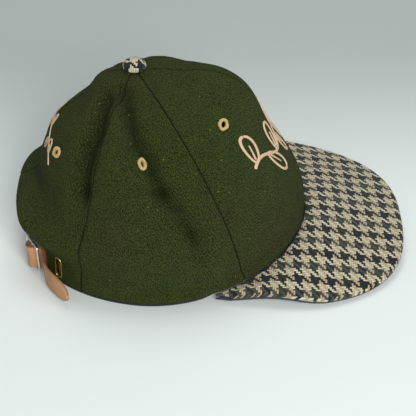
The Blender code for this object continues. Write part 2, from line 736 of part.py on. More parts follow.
def build_slide(metal):
    """The three-bar slide: a rounded wire frame with a bar down its middle."""
    centre, along, out = slide_frame()
    corner = 0.0026
    outline = []
    hs, hz = SLIDE_HALF_LENGTH, SLIDE_HALF_HEIGHT - SLIDE_BAR
    for cs, cz, start in ((hs, hz, 0.0), (-hs, hz, 90.0), (-hs, -hz, 180.0), (hs, -hz, 270.0)):
        ps = cs - corner * (1 if cs > 0 else -1)
        pz = cz - corner * (1 if cz > 0 else -1)
        for k in range(4):
            a = radians(start + 30.0 * k)
            outline.append((ps + corner * cos(a), pz + corner * sin(a)))
    bm = bmesh.new()
    rings = []
    count = len(outline)
    for k, (s, z) in enumerate(outline):
        s0, z0 = outline[k - 1]
        s1, z1 = outline[(k + 1) % count]
        run = Vector((s1 - s0, z1 - z0)).normalized()
        side = Vector((run.y, -run.x))
        ring = []
        for j in range(8):
            a = 2 * pi * j / 8
            ds, dn = SLIDE_BAR * cos(a), SLIDE_BAR * sin(a)
            p = centre + along * (s + side.x * ds) + out * dn
            p.z = STRAP_Z + z + side.y * ds
            ring.append(bm.verts.new(p))
        rings.append(ring)
    for r0, r1 in zip(rings, rings[1:] + rings[:1]):
        for j in range(8):
            i = (j + 1) % 8
            bm.faces.new((r0[j], r0[i], r1[i], r1[j]))
    frame_obj = add_object("slide_buckle", bm, metal, centre)
    low = Vector((centre.x, centre.y, STRAP_Z - hz))
    high = Vector((centre.x, centre.y, STRAP_Z + hz))
    bar = add_object("bar", round_bar(low, high, CENTRE_BAR), metal)
    mod = frame_obj.modifiers.new("weld", "BOOLEAN")
    mod.operation = "UNION"
    mod.solver = "EXACT"
    mod.object = bar
    bpy.context.view_layer.objects.active = frame_obj
    bpy.ops.object.modifier_apply(modifier=mod.name)
    bpy.data.objects.remove(bar, do_unlink=True)


def build_tuck_slot(brass, panel):
    """The oval ring that the strap's tail tucks into, set in the wool beside the opening."""
    t = SLOT_Z / APEX_HEIGHT * 2 / pi
    point = crown(SLOT_ANGLE, t)
    normal = crown_normal(SLOT_ANGLE, t)
    up = Vector((0.0, 0.0, 1.0))
    up = (up - normal * up.dot(normal)).normalized()
    wide = up.cross(normal)
    frame = Matrix.Translation(point) @ Matrix((wide, up, normal)).transposed().to_4x4()

    def oval(grow):
        line = []
        for k in range(16):
            a = 2 * pi * k / 16
            straight = SLOT_HALF_TALL - SLOT_HALF_WIDE
            y = (SLOT_HALF_WIDE + grow) * sin(a) + (straight if sin(a) > 0 else -straight)
            if abs(sin(a)) < 1e-6:
                y = 0.0
            line.append(((SLOT_HALF_WIDE + grow) * cos(a), y))
        return line

    def rings(levels):
        bm = bmesh.new()
        loops = [[bm.verts.new(frame @ Vector((x, y, h))) for x, y in oval(grow)]
                 for grow, h in levels]
        for low, high in zip(loops, loops[1:] + loops[:1]):
            for k in range(16):
                j = (k + 1) % 16
                bm.faces.new((low[k], low[j], high[j], high[k]))
        return bm

    wall, flange = SLOT_WIRE * 0.7, SLOT_WIRE * 1.7
    above = LAYER_GAP + 0.0004
    below = -WOOL - LAYER_GAP * 2 - 0.0004
    ring = rings(((0.0, below - 0.0004), (wall, below - 0.0004), (wall, above), (flange, above),
                  (flange, above + 0.0005), (wall * 0.5, above + 0.0008), (0.0, above)))
    add_object("tuck_slot", ring, brass)
    cutter = bmesh.new()
    low = [cutter.verts.new(frame @ Vector((x, y, -0.0045))) for x, y in oval(wall + LAYER_GAP)]
    high = [cutter.verts.new(frame @ Vector((x, y, 0.004))) for x, y in oval(wall + LAYER_GAP)]
    cutter.faces.new(low[::-1])
    cutter.faces.new(high)
    for k in range(16):
        j = (k + 1) % 16
        cutter.faces.new((low[k], low[j], high[j], high[k]))
    cut(panel, add_object("cutter", cutter, brass))


# ---- build -------------------------------------------------------------------------------
for old in list(bpy.data.objects):
    bpy.data.objects.remove(old, do_unlink=True)

WOOL_MAT = material("wool", (0.075, 0.105, 0.032), 0.95)
BUCKRAM_MAT = material("buckram", (0.62, 0.60, 0.55), 0.9)
TAPE_MAT = material("tape", (0.030, 0.034, 0.050), 0.85)
BAND_MAT = material("sweatband", (0.028, 0.032, 0.048), 0.9)
CHECK_MAT = material("check_cloth", (0.42, 0.34, 0.24), 0.9)
BOARD_MAT = material("board", (0.75, 0.75, 0.72), 0.6)
LINING_MAT = material("lining", (0.030, 0.036, 0.060), 0.85)
STEEL_MAT = material("steel", (0.70, 0.70, 0.71), 0.25, 1.0)
BRASS_MAT = material("brass", (0.75, 0.55, 0.22), 0.3, 1.0)
THREAD_MAT = material("thread", (0.42, 0.31, 0.17), 0.8)
SATIN_MAT = material("satin_thread", (0.78, 0.46, 0.36), 0.5)
LEATHER_MAT = material("leather", (0.42, 0.20, 0.10), 0.6)

panel_objects = build_panels(WOOL_MAT)
stiffener_objects = build_stiffeners(BUCKRAM_MAT)
build_tapes(TAPE_MAT)
build_band(BAND_MAT)
build_arch_binding(TAPE_MAT)
build_button(CHECK_MAT, STEEL_MAT)
build_eyelets(THREAD_MAT, panel_objects, stiffener_objects)
build_bill(CHECK_MAT, BOARD_MAT, LINING_MAT)
build_embroidery(SATIN_MAT)
build_strap(LEATHER_MAT)
build_slide(STEEL_MAT)
build_tuck_slot(BRASS_MAT, panel_objects["rear_right"])
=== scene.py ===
"""A six-panel wool cap with a check tweed bill and a leather strap, dressed over its CAD frame.

Metres, +X forward over the bill, +Y to the wearer's left, +Z up.
"""
from math import atan2, cos, degrees, hypot, pi, radians, sin, sqrt

import bmesh
import bpy
import numpy as np
from mathutils import Matrix, Vector


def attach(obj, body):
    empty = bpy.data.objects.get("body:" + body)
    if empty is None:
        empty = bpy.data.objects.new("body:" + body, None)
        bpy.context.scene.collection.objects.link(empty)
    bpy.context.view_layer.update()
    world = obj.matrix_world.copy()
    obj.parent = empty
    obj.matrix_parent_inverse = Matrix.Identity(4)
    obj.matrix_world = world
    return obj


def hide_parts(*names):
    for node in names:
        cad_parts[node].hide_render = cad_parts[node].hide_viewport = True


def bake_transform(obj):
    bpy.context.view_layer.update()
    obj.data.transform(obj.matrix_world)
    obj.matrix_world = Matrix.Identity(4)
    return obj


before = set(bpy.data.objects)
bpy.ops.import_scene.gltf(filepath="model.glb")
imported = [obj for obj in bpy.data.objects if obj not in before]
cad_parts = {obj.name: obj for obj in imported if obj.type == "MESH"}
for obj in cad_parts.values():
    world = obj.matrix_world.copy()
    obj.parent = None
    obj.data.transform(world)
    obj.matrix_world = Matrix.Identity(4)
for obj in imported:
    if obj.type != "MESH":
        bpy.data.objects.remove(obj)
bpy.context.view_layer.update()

# ---- Table, light and view ---------------------------------------------------------------
# The cap stands on a pale matt table that sweeps up behind it, its colour painted darker with
# distance as painted shade where the light falls off.
# A soft window lights its right side from the front, with a weaker lamp above and behind it
# and a little sky all round.
STAGE_WIDE = 3.0
SWEEP_BACK = 0.62
SWEEP_RADIUS = 0.30
VIEW_TURN = 0.64
VIEW_DOWN = 37.6
VIEW_ROLL = -1.02
VIEW_FAR = 0.726
VIEW_AT = (-0.0021, -0.0118, 0.0256)
VIEW_LENS = 88.6


class Value:
    """A shader socket that adds, multiplies and compares like a number."""

    def __init__(self, socket):
        self.socket = socket

    def make(self, kind, settings, inputs, output=0):
        """Any other node: its settings first, then the values or links of its sockets."""
        tree = self.socket.id_data
        node = tree.nodes.new(kind)
        for key, value in settings.items():
            if key == "stops":
                ramp = node.color_ramp
                while len(ramp.elements) < len(value):
                    ramp.elements.new(0.5)
                for element, (place, colour) in zip(ramp.elements, value):
                    element.position = place
                    element.color = (*colour, 1.0)
            else:
                setattr(node, key, value)
        for key, value in inputs.items():
            if isinstance(value, Value):
                tree.links.new(value.socket, node.inputs[key])
            elif value is not None:
                node.inputs[key].default_value = value
        return Value(node.outputs[output])

    def math(self, operation, other=None, third=None):
        return self.make("ShaderNodeMath", {"operation": operation},
                         {0: self, 1: other, 2: third})

    def __add__(self, other):
        return self.math("ADD", other)

    __radd__ = __add__

    def __sub__(self, other):
        return self.math("SUBTRACT", other)

    def __rsub__(self, other):
        return (self * -1.0) + other

    def __mul__(self, other):
        return self.math("MULTIPLY", other)

    __rmul__ = __mul__

    def __truediv__(self, other):
        return self.math("DIVIDE", other)

    def __lt__(self, other):
        return self.math("LESS_THAN", other)

    def __gt__(self, other):
        return self.math("GREATER_THAN", other)

    def __mod__(self, other):
        return self.math("FLOORED_MODULO", other)

    def floor(self):
        return self.math("FLOOR")

    def clamp(self):
        return self.make("ShaderNodeClamp", {}, {0: self})

    def tint(self, low, high):
        """A colour between low and high, by this value."""
        pick = {"data_type": "RGBA", "clamp_factor": True}
        low = low if isinstance(low, Value) else (*low, 1.0)
        high = high if isinstance(high, Value) else (*high, 1.0)
        return self.make("ShaderNodeMix", pick, {0: self, 6: low, 7: high}, 2)

    def part(self, axis):
        """One number of a vector: 0, 1 or 2."""
        return self.make("ShaderNodeSeparateXYZ", {}, {0: self}, axis)

    def stretch(self, x, y, z, turn=0.0):
        """This place, scaled, and turned about Z."""
        return self.make("ShaderNodeMapping", {},
                         {0: self, 2: (0.0, 0.0, turn), 3: (x, y, z)})

    def noise(self, scale, detail=2.0, rough=0.5):
        return self.make("ShaderNodeTexNoise", {},
                         {"Vector": self, "Scale": scale, "Detail": detail, "Roughness": rough})

    def bump(self, strength, distance, below=None):
        return self.make("ShaderNodeBump", {},
                         {"Height": self, "Strength": strength, "Distance": distance,
                          "Normal": below})


def new_finish(name, roughness, metallic=0.0, **fixed):
    """A material, its shader and a Value that reads the place on the object."""
    mat = bpy.data.materials.new(name)
    mat.use_nodes = True
    shader = mat.node_tree.nodes["Principled BSDF"]
    shader.inputs["Roughness"].default_value = roughness
    shader.inputs["Metallic"].default_value = metallic
    for key, value in fixed.items():
        shader.inputs[key.replace("_", " ")].default_value = value
    coords = mat.node_tree.nodes.new("ShaderNodeTexCoord")
    return mat, shader, Value(coords.outputs["Object"])


def feed(shader, **inputs):
    """Link values to the shader's sockets."""
    for key, value in inputs.items():
        shader.id_data.links.new(value.socket, shader.inputs[key.replace("_", " ")])


def build_stage():
    profile = [(-1.6, 0.0), (SWEEP_BACK, 0.0)]
    for k in range(1, 13):
        a = pi / 2 * k / 12
        profile.append((SWEEP_BACK + SWEEP_RADIUS * sin(a), SWEEP_RADIUS * (1.0 - cos(a))))
    profile.append((SWEEP_BACK + SWEEP_RADIUS, 1.8))
    verts, faces = [], []
    for y, z in profile:
        verts += [(-STAGE_WIDE, y, z), (STAGE_WIDE, y, z)]
    for k in range(len(profile) - 1):
        faces.append((2 * k, 2 * k + 1, 2 * k + 3, 2 * k + 2))
    mesh = bpy.data.meshes.new("table")
    mesh.from_pydata(verts, [], faces)
    mesh.shade_smooth()
    table = bpy.data.objects.new("table", mesh)
    bpy.context.scene.collection.objects.link(table)
    mat, shader, place = new_finish("table_paper", 0.75)
    cloudy = place.noise(3.0, 3.0)
    near = cloudy.tint((0.70, 0.745, 0.735), (0.74, 0.785, 0.775))
    # Painted shade: the far colour is darker, and the table fades to it towards the back.
    far = cloudy.tint((0.40, 0.435, 0.42), (0.44, 0.475, 0.46))
    depth = ((place.part(1) + 0.02) / 0.30).clamp()
    feed(shader, Base_Color=(depth * depth * (3.0 - 2.0 * depth)).tint(near, far),
         Normal=place.noise(600.0, 2.0).bump(0.05, 0.0002))
    table.data.materials.append(mat)


def add_lamp(name, spot, aim, size, power, colour):
    data = bpy.data.lights.new(name, "AREA")
    data.shape = "RECTANGLE"
    data.size, data.size_y = size
    data.energy = power
    data.color = colour
    lamp = bpy.data.objects.new(name, data)
    lamp.location = spot
    lamp.rotation_euler = (Vector(aim) - Vector(spot)).to_track_quat("-Z", "Y").to_euler()
    bpy.context.scene.collection.objects.link(lamp)


def build_view():
    turn, down, roll = radians(VIEW_TURN), radians(VIEW_DOWN), radians(VIEW_ROLL)
    back = Vector((sin(turn) * cos(down), -cos(turn) * cos(down), sin(down)))
    right = Vector((cos(turn), sin(turn), 0.0))
    up = back.cross(right)
    side = right * cos(roll) + up * sin(roll)
    top = up * cos(roll) - right * sin(roll)
    data = bpy.data.cameras.new("view")
    data.lens = VIEW_LENS
    data.sensor_width = 36.0
    data.clip_start = 0.01
    camera = bpy.data.objects.new("view", data)
    matrix = Matrix((side, top, back)).transposed().to_4x4()
    matrix.translation = Vector(VIEW_AT) + back * VIEW_FAR
    camera.matrix_world = matrix
    bpy.context.scene.collection.objects.link(camera)
    bpy.context.scene.camera = camera


def build_air():
    world = bpy.data.worlds.new("air")
    world.use_nodes = True
    sky = world.node_tree.nodes["Background"]
    sky.inputs["Color"].default_value = (0.93, 0.98, 1.0, 1.0)
    sky.inputs["Strength"].default_value = 0.30
    bpy.context.scene.world = world


build_stage()
build_view()
build_air()
add_lamp("window", (0.45, -1.30, 0.95), (0.0, 0.0, 0.06), (0.8, 0.6), 25.0, (1.0, 0.995, 0.97))
add_lamp("overhead", (-0.05, 0.45, 1.25), (0.0, 0.0, 0.05), (0.7, 0.7), 6.0, (0.97, 0.99, 1.0))
bpy.context.scene.view_settings.view_transform = "Standard"

# ---- Wool crown --------------------------------------------------------------------------
# Six panels of brushed olive wool, sewn edge to edge into a soft unblocked dome. The cloth
# is 1.6 mm thick; each seam is pressed open, so the panels' edges roll down into it.
RIM_HALF_LENGTH = 0.1006
RIM_HALF_WIDTH = 0.0880
RIM_CENTRE_X = -0.0336
RIM_HEIGHT = 0.0010
FRONT_LIFT = 0.0190
FRONT_LIFT_REACH = 100.0
APEX_X = -0.0487
APEX_HEIGHT = 0.1327
APEX_HOLE_T = 0.972
WOOL = 0.0016
# SHOWN_T also lifts the wool's lower edge, so that the dark sweatband shows below it as painted
# shadow.
SHOWN_T = 0.0125
CLOTH_TALL = 0.165
MEAN_RADIUS = 0.094
FULL_FOLD = 0.0084
SEAM_ROLL = 0.0013
SEAM_DEEP = 0.0013
ARCH_HALF_ANGLE = 38.0
ARCH_TOP_T = 0.225
ARCH_SQUARENESS = 0.6
REAR_SEAM_RIM = 123.0
# degrees from the front, share of the way up, height, spread in each
SWELLS = (
    (0.0, 0.68, 0.0085, 32.0, 0.17),
    (12.0, 0.36, -0.0050, 22.0, 0.14),
    (-175.0, 0.145, 0.0200, 42.0, 0.078),
    (-175.0, 0.290, -0.0062, 38.0, 0.055),
    (-175.0, 0.385, -0.0026, 38.0, 0.08),
    (165.0, 0.62, -0.0090, 42.0, 0.20),
    (90.0, 0.45, 0.0015, 50.0, 0.30),
    (-100.0, 0.30, 0.0015, 40.0, 0.25),
    (-176.0, 0.24, 0.0016, 46.0, 0.10),
    (-172.0, 0.83, 0.0040, 34.0, 0.07),
    (-172.0, 0.56, 0.0050, 34.0, 0.12),
    (2.0, 0.60, 0.0016, 26.0, 0.12),
    (0.0, 0.84, -0.0014, 50.0, 0.05),
)
# places along each fold, depth, half width; a negative depth is a ridge
FOLDS = (
    (((-130.0, 0.79), (-127.5, 0.71), (-124.5, 0.625), (-126.0, 0.55), (-126.5, 0.47),
      (-125.5, 0.385)), 0.0086, 0.0056),
    (((-113.0, 0.84), (-107.5, 0.78), (-101.5, 0.69), (-97.0, 0.60), (-91.5, 0.55),
      (-89.5, 0.50), (-87.0, 0.43)), 0.0082, 0.0052),
    (((-86.0, 0.415), (-84.0, 0.395), (-81.0, 0.36), (-79.0, 0.32), (-76.0, 0.26)), 0.0064, 0.0050),
    (((-76.0, 0.25), (-74.0, 0.21), (-73.0, 0.18)), 0.0026, 0.0055),
    (((-119.0, 0.82), (-115.0, 0.68), (-113.0, 0.56), (-110.0, 0.48)), -0.0030, 0.0075),
    (((-137.0, 0.82), (-137.0, 0.70), (-138.0, 0.57)), -0.0016, 0.0080),
)
FINE_FOLDS = (
    (((-125.5, 0.39), (-124.0, 0.31)), 0.0030, 0.0070),
    (((-148.0, 0.40), (-143.0, 0.27)), 0.0008, 0.0080),
    (((104.0, 0.80), (98.0, 0.60), (90.0, 0.45)), 0.0036, 0.0080),
    (((132.0, 0.78), (130.0, 0.60), (134.0, 0.44)), 0.0038, 0.0080),
    (((60.0, 0.80), (52.0, 0.70)), 0.0010, 0.0070),
)


def smooth(low, high, value):
    share = np.clip((value - low) / (high - low), 0.0, 1.0)
    return share * share * (3.0 - 2.0 * share)


def turned(angle):
    return (np.asarray(angle) + 180.0) % 360.0 - 180.0


def rim(angle, inset=0.0):
    """Points on the crown's bottom edge, by degrees from the front."""
    a = np.radians(angle)
    lift = FRONT_LIFT * (1.0 - smooth(0.0, FRONT_LIFT_REACH, np.abs(turned(angle))))
    x = RIM_CENTRE_X + (RIM_HALF_LENGTH - inset) * np.cos(a)
    y = (RIM_HALF_WIDTH - inset) * np.sin(a)
    return np.stack([x, y, RIM_HEIGHT + lift + 0.0 * x], -1)


def fold_distance(angle, t, line):
    """Distance on the cloth from each place to a fold's line."""
    across = radians(1.0) * RIM_HALF_WIDTH * np.cos(pi * t / 2)
    along = hypot(APEX_HEIGHT, RIM_HALF_WIDTH)
    best = np.full(np.shape(angle), 1.0)
    for (a0, t0), (a1, t1) in zip(line, line[1:]):
        px, py = turned(angle - a0) * across, (t - t0) * along
        qx, qy = (a1 - a0) * across, (t1 - t0) * along
        share = np.clip((px * qx + py * qy) / (qx * qx + qy * qy), 0.0, 1.0)
        best = np.minimum(best, np.hypot(px - share * qx, py - share * qy))
    return best


def swell(angle, t):
    total = np.zeros(np.shape(angle))
    for a0, t0, height, spread_a, spread_t in SWELLS:
        total += height * np.exp(-(turned(angle - a0) / spread_a) ** 2 - ((t - t0) / spread_t) ** 2)
    for line, depth, half in FOLDS + FINE_FOLDS:
        total -= depth * np.exp(-(fold_distance(angle, t, line) / half) ** 2)
    a = np.radians(angle)
    ripple = np.sin(3.0 * a + 9.0 * t) * np.sin(5.0 * a - 13.0 * t + 1.0)
    ripple += 0.6 * np.sin(8.0 * a + 17.0 * t) * np.sin(7.0 * a + 4.0)
    total += 0.0004 * ripple
    total = total * smooth(0.09, 0.19, t) * (1.0 - smooth(0.86, 0.97, t))
    away = np.abs(turned(angle))
    over_bill = smooth(24.0, 40.0, away) * (1.0 - smooth(84.0, 112.0, away))
    crease = 0.0007 * np.exp(-((t - 0.024) / 0.014) ** 2)
    crease -= 0.0013 * np.exp(-((t - 0.060) / 0.014) ** 2)
    return total + over_bill * crease


def crown(angle, t, inset=0.0):
    """Points on the crown: t runs 0..1 from the rim to the top, inset goes inward."""
    angle, t = np.broadcast_arrays(np.asarray(angle, float), np.asarray(t, float))
    base = rim(angle)
    h, v = np.cos(pi * t / 2), np.sin(pi * t / 2)
    a = np.radians(angle)
    out = np.stack([h * np.cos(a), h * np.sin(a), v], -1)
    x = APEX_X + (base[..., 0] - APEX_X) * h
    z = base[..., 2] + (APEX_HEIGHT - base[..., 2]) * v
    middle = np.stack([x, base[..., 1] * h, z], -1)
    return middle + out * (swell(angle, t) - inset)[..., None]


def crown_normal(angle, t):
    up = crown(angle, t + 0.004) - crown(angle, t - 0.004)
    side = crown(angle + 1.0, t) - crown(angle - 1.0, t)
    return Vector(np.cross(side, up)).normalized()


def gap_angle(t, gap):
    """The angle that a length across the cloth takes up at height t."""
    return np.degrees(gap / (MEAN_RADIUS * np.maximum(np.cos(pi * t / 2), 0.04)))


def front_seam(t):
    return 56.0 + 20.0 * t


def rear_seam(t):
    return REAR_SEAM_RIM - 9.0 * t


def woven_place(mat, name="weave"):
    """The place on the flat cloth, in metres, from the piece's own layer."""
    layer = mat.node_tree.nodes.new("ShaderNodeUVMap")
    layer.uv_map = name
    return Value(layer.outputs["UV"])


def sewn_shell(name, outer, inner, finish, weave=None):
    """Close two grids of points, one over the other, into one cloth solid."""
    rows, cols = outer.shape[:2]
    verts = np.concatenate([outer.reshape(-1, 3), inner.reshape(-1, 3)])
    count = rows * cols
    index = np.arange(count).reshape(rows, cols)
    a, b = index[:-1, :-1].ravel(), index[:-1, 1:].ravel()
    c, d = index[1:, 1:].ravel(), index[1:, :-1].ravel()
    faces = [np.stack([a, b, c, d], 1), np.stack([a, d, c, b], 1) + count]
    for line, flip in ((index[0], 0), (index[-1], 1), (index[:, 0], 1), (index[:, -1], 0)):
        p, q = line[:-1], line[1:]
        wall = np.stack([p, p + count, q + count, q], 1)
        faces.append(wall[:, ::-1] if flip else wall)
    faces = np.concatenate(faces)
    e1, e2 = verts[faces[:, 1]] - verts[faces[:, 0]], verts[faces[:, 2]] - verts[faces[:, 0]]
    e3 = verts[faces[:, 3]] - verts[faces[:, 0]]
    volume = np.einsum("ij,ij->i", verts[faces[:, 0]], np.cross(e1, e2) + np.cross(e2, e3)).sum()
    if volume < 0.0:
        faces = faces[:, ::-1]
    mesh = bpy.data.meshes.new(name)
    mesh.from_pydata(verts.tolist(), [], faces.tolist())
    mesh.shade_smooth()
    if weave is not None:
        both = np.concatenate([weave.reshape(-1, 2)] * 2)
        layer = mesh.uv_layers.new(name="weave")
        layer.data.foreach_set("uv", both[faces.ravel()].ravel())
    obj = bpy.data.objects.new(name, mesh)
    bpy.context.scene.collection.objects.link(obj)
    mesh.materials.append(finish)
    return obj


def add_layer(obj, name, grid):
    """A second layer of two numbers on both faces of a sewn shell."""
    both = np.concatenate([grid.reshape(-1, 2)] * 2)
    corner = np.empty(len(obj.data.loops), int)
    obj.data.loops.foreach_get("vertex_index", corner)
    obj.data.uv_layers.new(name=name).data.foreach_set("uv", both[corner].ravel())


def wool_finish():
    """Brushed wool: a fuzzy nap over a twill, darker between the fibres, with stray flecks, and
    painted shade darkening the seams and the fold hollows.
    """
    mat, shader, place = new_finish("brushed_wool", 0.95, Sheen_Weight=0.05,
                                    Sheen_Roughness=0.5, Specular_IOR_Level=0.08)
    shader.inputs["Sheen Tint"].default_value = (0.60, 0.75, 0.35, 1.0)
    cloth = woven_place(mat)
    broad = place.noise(13.0, 3.0)
    patch = place.noise(120.0, 3.0, 0.6)
    curl = cloth.stretch(1.0, 0.70, 1.0).noise(1600.0, 2.0, 0.6)
    fibre = place.noise(2300.0, 3.0, 0.75)
    wales = cloth.make("ShaderNodeTexWave", {"wave_type": "BANDS", "bands_direction": "DIAGONAL"},
                       {"Vector": cloth.stretch(1.0, 1.0, 1.0, 0.25), "Scale": 260.0,
                        "Distortion": 8.0, "Detail": 3.0, "Detail Scale": 2.2}, 1)
    nap = (curl - 0.5) * 4.6 + (fibre - 0.5) * 2.6 + (wales - 0.5) * 0.50 + (patch - 0.5) * 0.5
    # Painted shade: the "pressed" layer holds each place's distance to its seam and its nearness to
    # a fold's hollow, and the wool is coloured darker at both, where shade falls.
    pressed = woven_place(mat, "pressed")
    seam = (1.0 - pressed.part(0) / 0.0008).clamp()
    fold_shade = pressed.part(1).clamp()
    nap = (nap * 0.80 + 0.46 - fold_shade * 0.34).clamp()
    green = nap.tint((0.0036, 0.0060, 0.0013), (0.052, 0.075, 0.0150))
    brown = nap.tint((0.0060, 0.0066, 0.0022), (0.060, 0.064, 0.0200))
    colour = ((broad - 0.50) * 3.4 + 0.42).clamp().tint(green, brown)
    dots = place.make("ShaderNodeTexVoronoi", {}, {"Vector": place, "Scale": 190.0,
                                                   "Randomness": 1.0})
    yellow = (dots < 0.10) * (place.noise(75.0, 0.0) > 0.57)
    pale = (dots < 0.065) * (place.noise(83.0, 0.0) < 0.36)
    colour = (yellow * 0.65).tint(colour, (0.22, 0.165, 0.030))
    colour = (pale * 0.50).tint(colour, (0.16, 0.17, 0.115))
    # Painted shade: within 0.8 mm of a seam the wool is coloured almost black.
    colour = (seam * 0.85).tint(colour, (0.0030, 0.0036, 0.0012))
    feed(shader, Base_Color=colour, Roughness=0.88 + nap * 0.10,
         Normal=(curl * 1.2 + fibre * 0.8 + wales * 0.30).bump(0.85, 0.0011))
    return mat


WOOL_FINISH = wool_finish()


def shares_across(cols, edge):
    """Columns from seam to seam, closer together where the cloth rolls into the seam."""
    near = np.array([0.0, 0.25, 0.55, 1.0]) * edge
    return np.concatenate([near, np.linspace(0.0, 1.0, cols)[1:-1] * (1 - 2 * edge) + edge,
                           1.0 - near[::-1]])


def arch_low(share, mirrored):
    """The height of a rear panel's bottom edge along it, and where that column starts."""
    span = 180.0 - REAR_SEAM_RIM
    foot = 1.0 - ARCH_HALF_ANGLE / span
    s = 1.0 - share if mirrored else share
    climb = np.clip((s - 0.36) / 0.64, 0.0, 1.0) * pi / 2
    start = np.where(s < 0.36, s / 0.36 * foot, foot + (1.0 - foot) * (1.0 - np.cos(climb)))
    low = ARCH_TOP_T * np.sin(climb) ** ARCH_SQUARENESS
    return (1.0 - start if mirrored else start), low


def wool_panel(name, seam_a, seam_b, arch=None):
    """One panel: two faces of the cloth, rolled into the seams and round the bottom edge."""
    cols, rows = ((76, 120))
    share = shares_across(cols, 0.022)
    start, low = share, np.zeros_like(share)
    if arch is not None:
        start, low = arch_low(share, arch == "mirrored")
    v = np.concatenate([[0.0, 0.003, 0.008], np.linspace(0.016, 1.0, rows)])[:, None]
    low = np.maximum(low, SHOWN_T)
    t = low + (APEX_HOLE_T - low) * v
    a, b = seam_a(t), seam_b(t)
    along = start + (share - start) * v
    angle = a + (b - a) * along
    reach = MEAN_RADIUS * np.maximum(np.cos(pi * t / 2), 0.04) * radians(1.0)
    to_seam = np.minimum(along, 1.0 - along) * np.abs(b - a) * reach
    near = np.clip(1.0 - to_seam / SEAM_ROLL, 0.0, 1.0)
    rolled = SEAM_DEEP * (1.0 - np.sqrt(1.0 - near * near * 0.98))
    pucker = 0.00016 * np.exp(-to_seam / 0.006) * np.sin(t * 165.0 / 7.0 * 2 * pi + 2.0 * a)
    hem = np.clip(1.0 - v * CLOTH_TALL / 0.0022, 0.0, 1.0)
    rolled = rolled + 0.0007 * (1.0 - np.sqrt(1.0 - hem * hem * 0.98))
    outer = crown(angle, t, np.minimum(rolled + pucker, WOOL - 0.0003))
    inner = crown(angle, t, WOOL + 0.0 * t)
    middle = (seam_a(np.array(0.5)) + seam_b(np.array(0.5))) / 2
    weave = np.stack([turned(angle - middle) * reach, 0.0 * angle + t * CLOTH_TALL], -1)
    panel = sewn_shell(name, outer, inner, WOOL_FINISH, weave)
    # Nearness to each fold's hollow, which the wool's colour reads as painted shade.
    fold_shade = np.zeros(np.shape(angle))
    for line, depth, half in FOLDS:
        if depth > 0.0:
            fold_shade += depth / FULL_FOLD * np.exp(-(fold_distance(angle, t, line) / half * 1.3) ** 2)
    add_layer(panel, "pressed", np.stack([to_seam + 0.0 * angle, fold_shade], -1))
    return panel


def sew_on(piece, node):
    """Let a piece stand for its CAD node and stay with the cap."""
    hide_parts(node)
    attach(piece, "cap")


def level(value):
    return lambda t: value + 0.0 * t


PANELS = {
    "front_left": (level(0.0), front_seam, None),
    "front_right": (lambda t: -front_seam(t), level(0.0), None),
    "side_left": (front_seam, rear_seam, None),
    "side_right": (lambda t: -rear_seam(t), lambda t: -front_seam(t), None),
    "rear_left": (rear_seam, level(180.0), "plain"),
    "rear_right": (level(-180.0), lambda t: -rear_seam(t), "mirrored"),
}
panels = {}
for name, (seam_a, seam_b, arch) in PANELS.items():
    panels[name] = wool_panel("wool_" + name, seam_a, seam_b, arch)
    sew_on(panels[name], "panel_" + name)

# ---- Bill --------------------------------------------------------------------------------
# A flat board between a houndstooth tweed cover and a navy cotton lining. The cover wraps
# round the board's edge and is sewn to the lining underneath.
BILL_LENGTH = 0.0680
BILL_HALF_WIDTH = 0.0922
BILL_CORNER = 70.0
BILL_DROP = 0.0090
BILL_ARCH = 0.0125
BILL_TWIST = 0.0035
BILL_SQUARENESS = 2.4
BILL_SKEW = 0.6
BILL_COVER = 0.0012
BILL_BOARD = 0.0020
BILL_LINING = 0.0008
BILL_LIP = 0.0018
BILL_CLEAR = 0.0006
LAYER_GAP = 0.0003
THREAD = 0.001375
HALF_BOARD = BILL_BOARD / 2


def bill(u, w, lift=0.0, out=0.0):
    """Points on the bill: u -1..1 across, w 0..1 from the crown to the free edge."""
    u, w, lift, out = np.broadcast_arrays(u, w, lift, out)
    inner = rim(u * BILL_CORNER, -BILL_CLEAR)
    a = u * pi / 2
    power = 2.0 / (BILL_SQUARENESS + BILL_SKEW * (u < 0.0))
    x0 = rim(BILL_CORNER)[0]
    reach = RIM_CENTRE_X + RIM_HALF_LENGTH + BILL_LENGTH - x0
    corner = BILL_HALF_WIDTH - abs(rim(BILL_CORNER, -BILL_CLEAR)[1]) - 0.0012
    ox = x0 + reach * np.maximum(np.cos(a), 0.0) ** power
    oy = np.sign(u) * (BILL_HALF_WIDTH * np.abs(np.sin(a)) ** power
                       - corner * smooth(0.72, 1.0, np.abs(u)))
    run_x, run_y = ox - inner[..., 0], oy - inner[..., 1]
    length = np.hypot(run_x, run_y)
    x = inner[..., 0] + run_x * w + run_x / length * out
    y = inner[..., 1] + run_y * w + run_y / length * out
    forward = (x - (RIM_CENTRE_X + RIM_HALF_LENGTH)) / BILL_LENGTH
    side = y / BILL_HALF_WIDTH
    free = RIM_HEIGHT + FRONT_LIFT - BILL_DROP * forward - BILL_ARCH * side * side
    free = free + BILL_TWIST * side
    hold = smooth(0.0, 0.55, w) * (1.0 - smooth(0.80, 1.0, np.abs(u)))
    z = inner[..., 2] * (1.0 - hold) + free * hold
    return np.stack([x, y, z + lift], -1)


